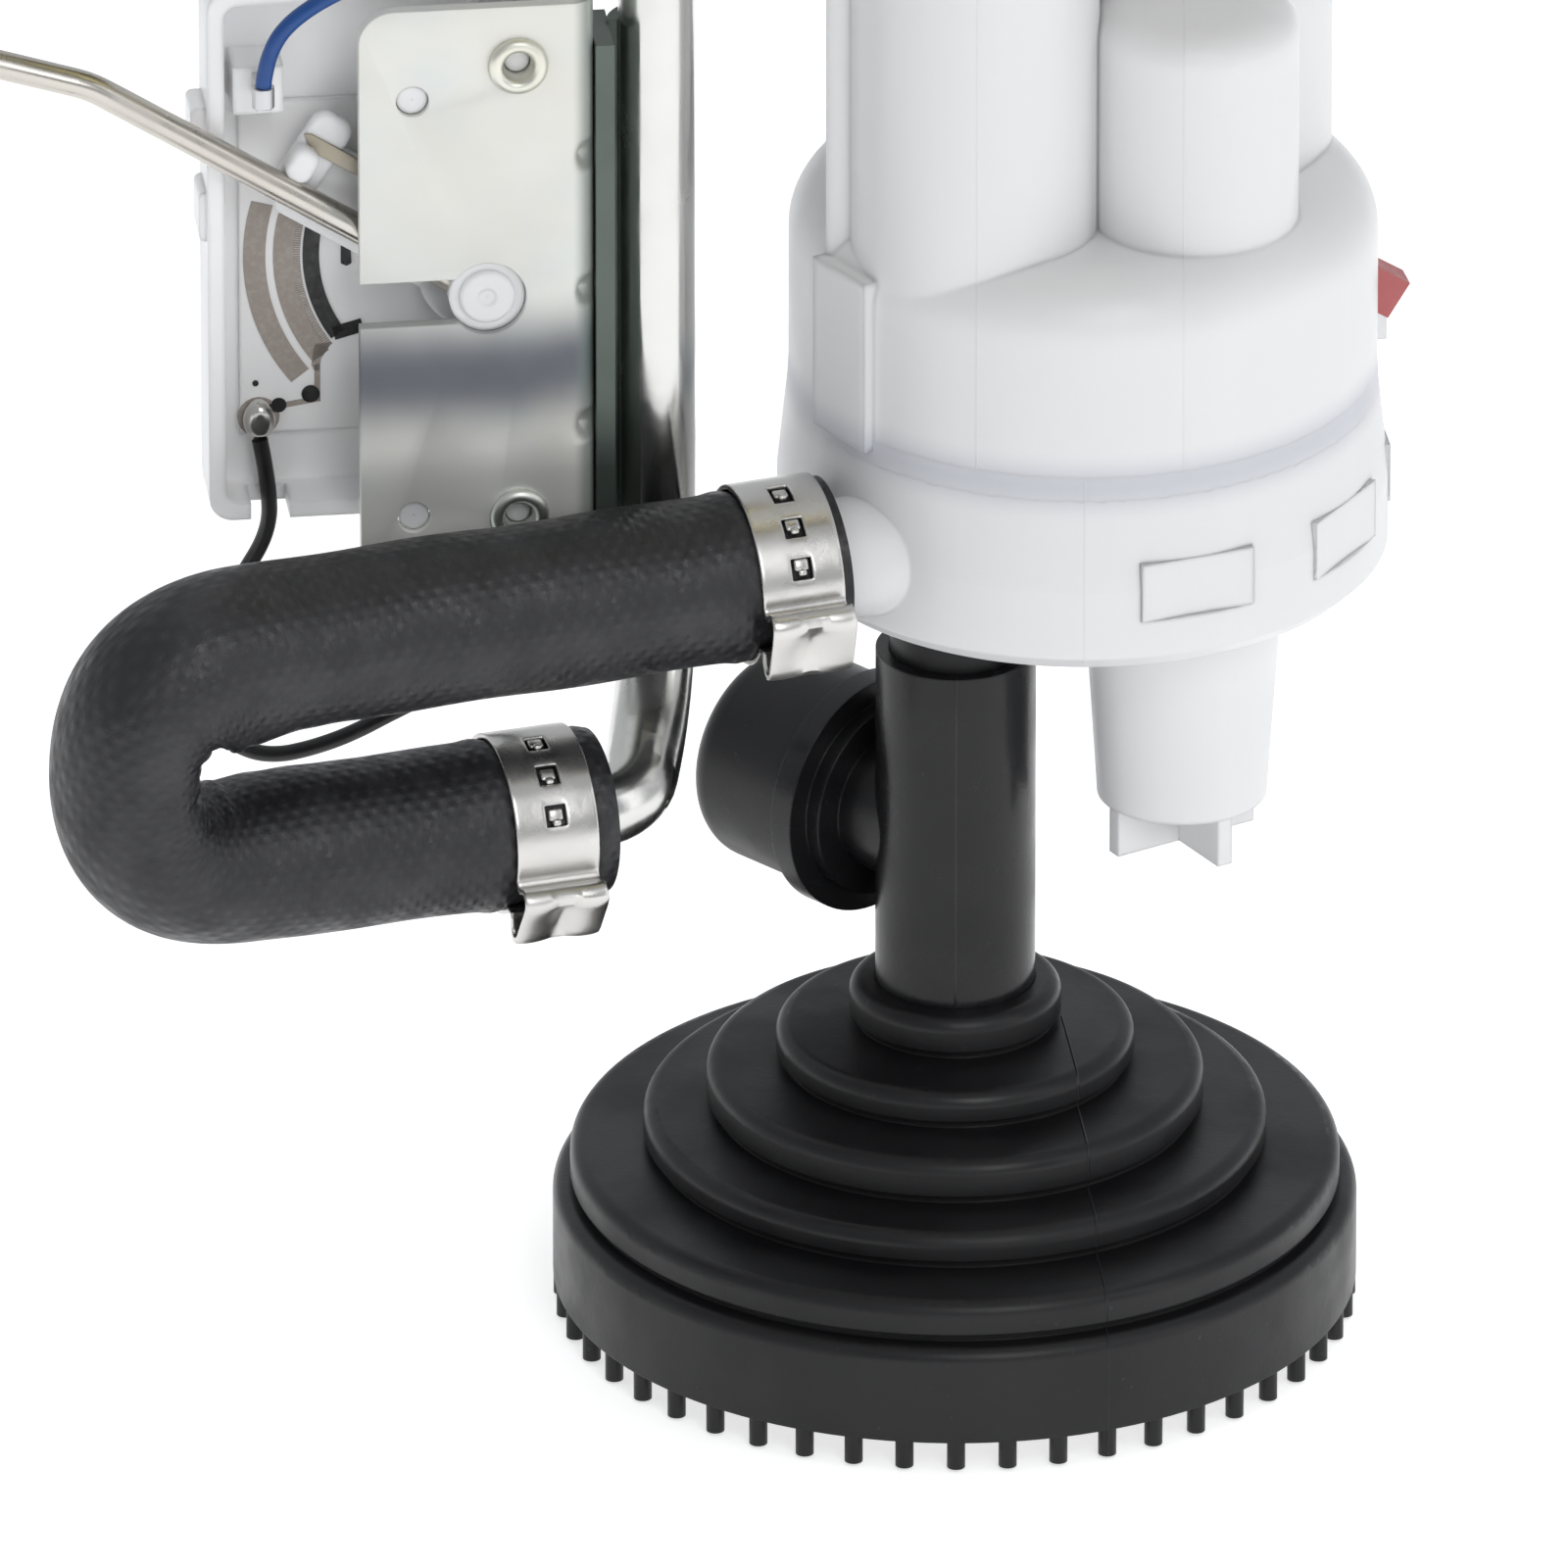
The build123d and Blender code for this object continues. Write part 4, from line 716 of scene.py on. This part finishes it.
def make_clamp(name, node, middle, along, ear_angle):
    """Pinch clamp: slotted band, bowed ear with a dimple, and a hook in each slot."""
    band = hose_radius + 0.10
    width = 8.8
    stations = 25
    down = -up
    away = along.cross(down).normalized()
    turned = radians(ear_angle)
    radial = down * cos(turned) + away * sin(turned)
    sideways = along.cross(radial).normalized()
    profile = clamp_profile(band)
    slots = [radians(a - ear_angle) for a in (190, 218, 245)]
    slot_half = 1.25

    def in_slot(point, station):
        axial = (station + 0.5) / (stations - 1) * width - width / 2
        if abs(axial) > slot_half:
            return False
        angle = atan2(point[1], point[0])
        for centre in slots:
            gap = (angle - centre + pi) % (2 * pi) - pi
            if abs(gap) * band < slot_half - 0.1:
                return True
        return False

    bm = bmesh.new()
    rows = []
    for x, y in profile:
        row = []
        lift = max(0.0, x - band - 1.6)
        for station in range(stations):
            axial = station / (stations - 1) * width - width / 2
            dimple = 1.15 * exp(-((axial / 1.7) ** 2)) * min(1.0, lift / 1.4) * exp(-((y / 2.9) ** 4))
            corner = 0.22 * (abs(axial) / (width / 2)) ** 8 * min(1.0, lift)
            place = middle + along * axial + radial * (x - dimple - corner) + sideways * y
            row.append(bm.verts.new(place * MM))
        rows.append(row)
    for index, row in enumerate(rows):
        following = rows[(index + 1) % len(rows)]
        here, after = profile[index], profile[(index + 1) % len(rows)]
        centre = ((here[0] + after[0]) / 2, (here[1] + after[1]) / 2)
        for station in range(stations - 1):
            if in_slot(centre, station):
                continue
            bm.faces.new([row[station], row[station + 1], following[station + 1], following[station]])
    clamp = from_bmesh(name, bm, 60.0)
    apply_modifier(clamp, "SOLIDIFY", thickness=0.55 * MM, offset=1.0, use_even_offset=True)
    apply_modifier(clamp, "BEVEL", width=0.10 * MM, segments=2, limit_method="ANGLE",
                   angle_limit=radians(50))
    smooth(clamp.data, 45.0)
    finish_piece(clamp, "stainless")
    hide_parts(node)
    hooks = bmesh.new()
    for centre in slots:
        out = radial * cos(centre) + sideways * sin(centre)
        turn = along.cross(out).normalized()
        base = middle + out * (hose_radius - 0.35)
        for shift, size, height in ((-0.25, 0.80, 0.95), (0.55, 0.45, 1.25)):
            matrix = Matrix((along, turn, out)).transposed().to_4x4()
            matrix.translation = (base + turn * shift + out * (height / 2)) * MM
            scale = Matrix.Diagonal((size * 1.9 * MM, size * 1.5 * MM, height * MM, 1.0))
            bmesh.ops.create_cube(hooks, size=1.0, matrix=matrix @ scale)
    hook_piece = from_bmesh(name + "_hooks", hooks)
    apply_modifier(hook_piece, "BEVEL", width=0.22 * MM, segments=3)
    smooth(hook_piece.data, 60.0)
    finish_piece(hook_piece, "stainless")


lower_z = hose_end.z - hose_upper_run * tan(hose_fall) - 2 * hose_bend
lower_end = hose_end + hose_dir * (hose_lower_run - hose_upper_run)
lower_end.z = lower_z
make_clamp("pinch_clamp_upper", "upper_hose_clamp", hose_end - upper_dir * 5.5, upper_dir, 288)
make_clamp("pinch_clamp_lower", "lower_hose_clamp", lower_end - hose_dir * 6.9, hose_dir, 304)


# ---------------------------------------------------------------- sender bracket
pivot_hole = (0.0, 0.0, 4.0)
rivet_x = 3.2
rivet_heights = (26.1, -24.7)
peg_places = ((-7.7, 22.6), (-7.7, -24.3))


def bracket_tools(left):
    """The cutters of the plate's holes, and of the slot from its left edge to the pivot."""
    matrix = Matrix((across, up.copy(), toward)).transposed().to_4x4()
    rivet_holes = [(rivet_x, height, 2.1) for height in rivet_heights]
    peg_holes = [(x, y, 1.7) for x, y in peg_places]
    holes = bmesh.new()
    for x, y, radius in [pivot_hole] + rivet_holes + peg_holes:
        matrix.translation = sender_point(x, y, 0.0)
        bmesh.ops.create_cone(holes, cap_ends=True, segments=48, radius1=radius * MM, radius2=radius * MM,
                              depth=6 * MM, matrix=matrix)
    hole_tool = from_bmesh("hole_tool", holes)
    slot = bmesh.new()
    matrix.translation = sender_point((left - 3) / 2, -0.2, 0.0)
    size = Matrix.Diagonal(((abs(left) + 3) * MM, 5.0 * MM, 6 * MM, 1.0))
    bmesh.ops.create_cube(slot, size=1.0, matrix=matrix @ size)
    return hole_tool, from_bmesh("slot_tool", slot)


def make_bracket():
    """Folded plate with a rounded fold, three pressed darts, a keyhole slot and rivet holes."""
    sheet = 1.5
    left, fold, top, bottom = -13.2, 11.2, 32.7, -32.0
    face_depth = sheet / 2
    outer_fold = 2.6
    corner = 3.5
    flange = 6.0 + sheet
    heights = [bottom + (top - bottom) * i / 216 for i in range(217)]
    darts = (15.3, 0.1, -15.1)
    bm = bmesh.new()

    def column(x, depth, nx, nd, push):
        """One upright line of points, outer and inner, with the darts pressed in."""
        outer_line, inner_line = [], []
        for y in heights:
            dent = 0.0
            for dart in darts:
                off = abs(y - dart) / 1.9
                dent = max(dent, push * max(0.0, 1.0 - off))
            ox, od = x - nx * dent, depth - nd * dent
            outer_line.append(bm.verts.new(sender_point(ox, y, od)))
            inner_line.append(bm.verts.new(sender_point(ox - nx * sheet, y, od - nd * sheet)))
        return outer_line, inner_line

    columns = []
    plate_edge = fold - outer_fold
    columns.append(column(plate_edge, face_depth, 0.0, 1.0, 0.0))
    for step in range(1, 12):
        angle = pi / 2 * step / 12
        nx, nd = sin(angle), cos(angle)
        push = 1.5 * sin(2 * angle) ** 2
        bend_x = plate_edge + outer_fold * nx
        bend_depth = face_depth - outer_fold + outer_fold * nd
        columns.append(column(bend_x, bend_depth, nx, nd, push))
    columns.append(column(fold, face_depth - outer_fold, 1.0, 0.0, 0.0))
    columns.append(column(fold, face_depth - flange, 1.0, 0.0, 0.0))
    for (outer_a, inner_a), (outer_b, inner_b) in zip(columns, columns[1:]):
        for i in range(len(heights) - 1):
            bm.faces.new([outer_a[i], outer_b[i], outer_b[i + 1], outer_a[i + 1]])
            bm.faces.new([inner_a[i], inner_a[i + 1], inner_b[i + 1], inner_b[i]])
        for end in (0, -1):
            bm.faces.new([outer_a[end], outer_b[end], inner_b[end], inner_a[end]])
    last_outer, last_inner = columns[-1]
    for i in range(len(heights) - 1):
        bm.faces.new([last_outer[i], last_inner[i], last_inner[i + 1], last_outer[i + 1]])
    rim = []
    for centre_y, start in ((top - corner, 90.0), (bottom + corner, 180.0)):
        for step in range(13):
            angle = radians(start + 90.0 * step / 12)
            rim.append((left + corner + corner * cos(angle), centre_y + corner * sin(angle)))
    front = [bm.verts.new(sender_point(x, y, face_depth)) for x, y in rim]
    rear = [bm.verts.new(sender_point(x, y, face_depth - sheet)) for x, y in rim]
    first_outer, first_inner = columns[0]
    bm.faces.new(front + first_outer)
    bm.faces.new(list(reversed(rear + first_inner)))
    front_loop = [first_outer[-1]] + front + [first_outer[0]]
    rear_loop = [first_inner[-1]] + rear + [first_inner[0]]
    for i in range(len(front_loop) - 1):
        bm.faces.new([front_loop[i], front_loop[i + 1], rear_loop[i + 1], rear_loop[i]])
    bracket = from_bmesh("folded_bracket", bm)
    for tool in bracket_tools(left):
        apply_modifier(bracket, "BOOLEAN", operation="DIFFERENCE", object=tool, solver="EXACT")
        bpy.data.objects.remove(tool)
    apply_modifier(bracket, "BEVEL", width=0.16 * MM, segments=2, limit_method="ANGLE",
                   angle_limit=radians(40))
    smooth(bracket.data, 35.0)
    finish_piece(bracket, "zinc_plate", bracket_zinc)
    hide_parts("sender_bracket")


make_bracket()


def make_eyelets():
    """Rolled rivets: a domed flange round a funnel that turns into the bore."""
    bm = bmesh.new()
    rolled = [(3.05, 0.0), (3.1, 0.25), (2.95, 0.55), (2.6, 0.78), (2.15, 0.85), (1.8, 0.70), (1.55, 0.30),
              (1.42, -0.4), (1.38, -4.0), (2.04, -4.0), (2.06, -0.02)]
    for height in rivet_heights:
        lathe(bm, rolled, sender_point(rivet_x, height, 0.76), toward)
    eyelets = from_bmesh("rolled_eyelets", bm, 50.0)
    finish_piece(eyelets, "zinc_plate")
    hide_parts("eyelet_rivets")


def make_white_details():
    """Locating pegs in the plate's small holes, the rivets' cores and the step on the pivot's face."""
    peg = [(0.05, -5.0), (1.6, -5.0), (1.6, 0.05), (1.45, 0.2), (0.05, 0.2)]
    rivet_core = [(0.05, -4.0), (1.36, -4.0), (1.3, -0.7), (0.9, -0.35), (0.05, -0.25)]
    pegs = bmesh.new()
    for x, y in peg_places:
        lathe(pegs, peg, sender_point(x, y, 0.0), toward)
    for height in rivet_heights:
        lathe(pegs, rivet_core, sender_point(rivet_x, height, 0.0), toward)
    finish_piece(from_bmesh("locating_pegs", pegs, 40.0), "white_acetal")
    step = bmesh.new()
    lathe(step, [(0.05, -0.6), (2.9, -0.6), (2.9, 0.25), (2.65, 0.5), (1.0, 0.5), (0.8, 0.3), (0.05, 0.3)],
          sender_point(0.0, 0.0, 0.0), toward)
    finish_piece(from_bmesh("pivot_step", step, 40.0), "white_acetal", body="float_arm_body")


def make_reservoir_details():
    """The melted line that closes the reservoir's joint, and the faces of its snap latches."""
    axis = Vector((20.7, 6.0, 0.0))
    bm = bmesh.new()
    swell = [(30.0, 1.6), (30.0, -1.8), (30.56, -1.7), (30.50, -0.5), (30.46, 0.0), (30.44, 0.5),
             (30.37, 1.5)]
    lathe(bm, swell, (axis + up * -120.6) * MM, up, 192)
    finish_piece(from_bmesh("joint_melt_line", bm, 60.0), "white_acetal", cover_white)
    latches = bmesh.new()
    outward = Matrix.Translation((30.6 * MM, 0.0, 0.0))
    for azimuth in range(-68, 85, 38):
        turn = Matrix.Rotation(radians(azimuth), 4, "Z")
        place = Matrix.Translation((axis + up * -132.2) * MM) @ turn @ outward
        size = Matrix.Diagonal((1.3 * MM, 12.38 * MM, 6.38 * MM, 1.0))
        bmesh.ops.create_cube(latches, size=1.0, matrix=place @ size)
    finish_piece(from_bmesh("latch_faces", latches), "white_acetal", cover_white)


make_eyelets()
make_white_details()
make_reservoir_details()


# ---------------------------------------------------------------- printed tracks of the sender card
card_depth = -9.0
arc_centre = (-1.0, 1.5)


def flat_shape(bm, outline, depth, thickness):
    """A thin slab of that outline lying on the sender card."""
    low = [bm.verts.new(sender_point(x, y, depth)) for x, y in outline]
    high = [bm.verts.new(sender_point(x, y, depth + thickness)) for x, y in outline]
    bm.faces.new(high)
    bm.faces.new(list(reversed(low)))
    for i in range(len(outline)):
        j = (i + 1) % len(outline)
        bm.faces.new([low[i], low[j], high[j], high[i]])


def arc_points(radius, start, end, steps=40):
    """Points of an arc about the tracks' centre, from one angle to the other, in degrees."""
    angles = [radians(start + (end - start) * i / steps) for i in range(steps + 1)]
    return [(arc_centre[0] + radius * cos(a), arc_centre[1] + radius * sin(a)) for a in angles]


def disc_points(x, y, radius, steps=20):
    """Points round a circle."""
    angles = [2 * pi * i / steps for i in range(steps)]
    return [(x + radius * cos(a), y + radius * sin(a)) for a in angles]


def bar_points(x1, y1, x2, y2, width):
    """A straight bar from one point to another."""
    run = Vector((x2 - x1, y2 - y1))
    side = Vector((-run.y, run.x)).normalized() * (width / 2)
    return [(x1 + side.x, y1 + side.y), (x2 + side.x, y2 + side.y), (x2 - side.x, y2 - side.y),
            (x1 - side.x, y1 - side.y)]


def make_tracks():
    """Two arcs of resistor ink with their teeth and leads, and the dark carbon track beside them."""
    thick = 0.10
    bm = bmesh.new()
    flat_shape(bm, arc_points(23.2, 164, 218) + arc_points(20.9, 218, 164), card_depth, thick)
    flat_shape(bm, arc_points(20.1, 166, 217) + arc_points(18.0, 217, 166), card_depth, thick)
    for tooth in range(60):
        start = 167.0 + tooth * 0.82
        flat_shape(bm, arc_points(18.02, start, start + 0.5, 2) + arc_points(17.3, start + 0.5, start, 2),
                   card_depth, thick)
    track_tail = [(-17.2, -10.9), (-16.9, -8.6), (-15.05, -8.5), (-16.2, -10.3), (-16.4, -11.6),
                  (-16.9, -11.6)]
    flat_shape(bm, track_tail, card_depth, thick)
    flat_shape(bm, bar_points(-16.6, -10.9, -16.6, -15.0, 0.6), card_depth, thick)
    flat_shape(bm, bar_points(-16.3, -14.8, -22.0, -15.6, 0.6), card_depth, thick)
    flat_shape(bm, disc_points(*solder_place, 2.2), card_depth, thick * 0.8)
    tracks = from_bmesh("printed_tracks", bm)
    finish_piece(tracks, "track_ink")
    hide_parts("resistor_tracks")
    dark = bmesh.new()
    flat_shape(dark, arc_points(17.05, 167, 214) + arc_points(15.35, 214, 167), card_depth, thick * 1.4)
    flat_shape(dark, bar_points(-14.9, -7.5, -11.9, -6.7, 1.5), card_depth, thick * 1.4)
    flat_shape(dark, disc_points(-17.3, -14.2, 0.95), card_depth, thick * 1.8)
    flat_shape(dark, disc_points(-20.6, -15.3, 0.8), card_depth, thick * 1.8)
    flat_shape(dark, disc_points(-23.0, -12.7, 0.32), card_depth, thick * 1.8)
    flat_shape(dark, [(-14.1, 2.5), (-13.6, 2.7), (-13.1, 2.4), (-13.0, 0.4), (-13.5, 0.1), (-14.1, 0.4)],
               card_depth, thick * 1.8)
    carbon = from_bmesh("carbon_track", dark)
    finish_piece(carbon, "track_ink", carbon_ink)


make_tracks()


rod_lean = radians(-32.5)


def rod_bar(x, y, length, width, corner):
    """Outline of a rounded bar whose length runs beside the rod."""
    run = Vector((cos(rod_lean), sin(rod_lean)))
    rise = Vector((-run.y, run.x))
    outline = []
    for right, over, start in ((1, 1, 0), (-1, 1, 90), (-1, -1, 180), (1, -1, 270)):
        for step in range(7):
            angle = radians(start + 15 * step)
            u = right * (length / 2 - corner) + corner * cos(angle)
            v = over * (width / 2 - corner) + corner * sin(angle)
            outline.append((x + run.x * u + rise.x * v, y + run.y * u + rise.y * v))
    return outline


def make_carrier():
    """White wiper carrier: hub, plate under the rod, raised pad and the clip that holds the leaf."""
    bm = bmesh.new()
    flat_shape(bm, disc_points(0.0, 0.0, 6.4, 64), -8.2, 2.6)
    flat_shape(bm, rod_bar(-10.5, 6.6, 22.0, 9.0, 2.2), -8.2, 2.55)
    flat_shape(bm, rod_bar(-17.4, 14.6, 4.6, 10.0, 1.6), -5.7, 1.5)
    flat_shape(bm, rod_bar(-18.7, 14.6, 2.8, 3.6, 1.1), -4.3, 2.4)
    carrier = from_bmesh("moulded_carrier", bm)
    apply_modifier(carrier, "BEVEL", width=0.45 * MM, segments=3, limit_method="ANGLE",
                   angle_limit=radians(50))
    smooth(carrier.data, 50.0)
    finish_piece(carrier, "white_acetal", lit_sender_white, "float_arm_body")
    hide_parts("wiper_carrier")


def make_wiper_leaf():
    """The wiper's spring metal: a blade on the carrier's pad, and two fingers under its plate."""
    run = (cos(rod_lean), sin(rod_lean))
    rise = (-run[1], run[0])

    def at(along_rod, over_rod):
        x = -15.8 + run[0] * along_rod + rise[0] * over_rod
        y = 15.2 + run[1] * along_rod + rise[1] * over_rod
        return x, y

    bm = bmesh.new()
    flat_shape(bm, [at(-3.4, 0.55), at(-2.6, 0.9), at(4.6, 0.9), at(4.6, -0.75), at(-1.6, -0.75)], -4.2, 0.35)
    for left in (-1.6, 0.8):
        right = left + 0.9
        flat_shape(bm, [at(left, -6.3), at(right, -6.3), at(right, -3.0), at(left, -3.0)], -8.6, 0.3)
    leaf = from_bmesh("wiper_leaf", bm)
    apply_modifier(leaf, "BEVEL", width=0.06 * MM, segments=2)
    finish_piece(leaf, "contact_metal", body="float_arm_body")
    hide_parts("wiper_contact")


make_carrier()
make_wiper_leaf()


# ---------------------------------------------------------------- floor and light
def make_floor():
    """Pale floor just under the module."""
    bm = bmesh.new()
    bmesh.ops.create_circle(bm, cap_ends=True, segments=96, radius=3.0)
    floor = from_bmesh("floor", bm)
    floor.location = (0.0, 0.0, cad_low.z - 0.0004)
    f = Finish("floor_white", (0.85, 0.85, 0.85), 0.9)
    f.shader.inputs["Emission Color"].default_value = (1.0, 1.0, 1.0, 1.0)
    f.shader.inputs["Emission Strength"].default_value = 0.62
    f.bump(f.noise(60.0, 3.0), 0.0002, 0.2)
    paint(floor, f.material)


def make_studio():
    """Soft white surroundings, dimmer on the camera's side."""
    world = bpy.data.worlds.new("studio")
    world.use_nodes = True
    scene.world = world
    tree = world.node_tree
    background = tree.nodes["Background"]
    coords = tree.nodes.new("ShaderNodeTexCoord")
    parts = tree.nodes.new("ShaderNodeSeparateXYZ")
    tree.links.new(coords.outputs["Generated"], parts.inputs[0])
    ramp = tree.nodes.new("ShaderNodeMapRange")
    ramp.inputs["From Min"].default_value = -0.75
    ramp.inputs["From Max"].default_value = 0.25
    ramp.inputs["To Min"].default_value = 0.42
    ramp.inputs["To Max"].default_value = 0.60
    tree.links.new(parts.outputs["Y"], ramp.inputs["Value"])
    tree.links.new(ramp.outputs["Result"], background.inputs["Strength"])
    background.inputs["Color"].default_value = (0.95, 0.97, 1.0, 1.0)


def make_light(name, place, aim, power, width, height):
    """A rectangular lamp at that place, turned to the aim."""
    data = bpy.data.lights.new(name, "AREA")
    data.shape = "RECTANGLE"
    data.size, data.size_y = width, height
    data.energy = power
    light = bpy.data.objects.new(name, data)
    light.location = place
    light.rotation_mode = "QUATERNION"
    light.rotation_quaternion = (Vector(aim) - Vector(place)).to_track_quat("-Z", "Y")
    scene.collection.objects.link(light)


make_floor()
make_studio()
module_middle = (-0.01, 0.0, -0.13)
make_light("key", (0.30, -1.0, 0.60), module_middle, 3.5, 0.45, 0.7)
make_light("fill", (0.85, -0.45, 0.25), module_middle, 1.0, 0.3, 0.9)
make_light("top", (0.0, 0.15, 0.95), module_middle, 1.4, 0.8, 0.5)
scene.view_settings.view_transform = "Standard"
scene.view_settings.look = "None"
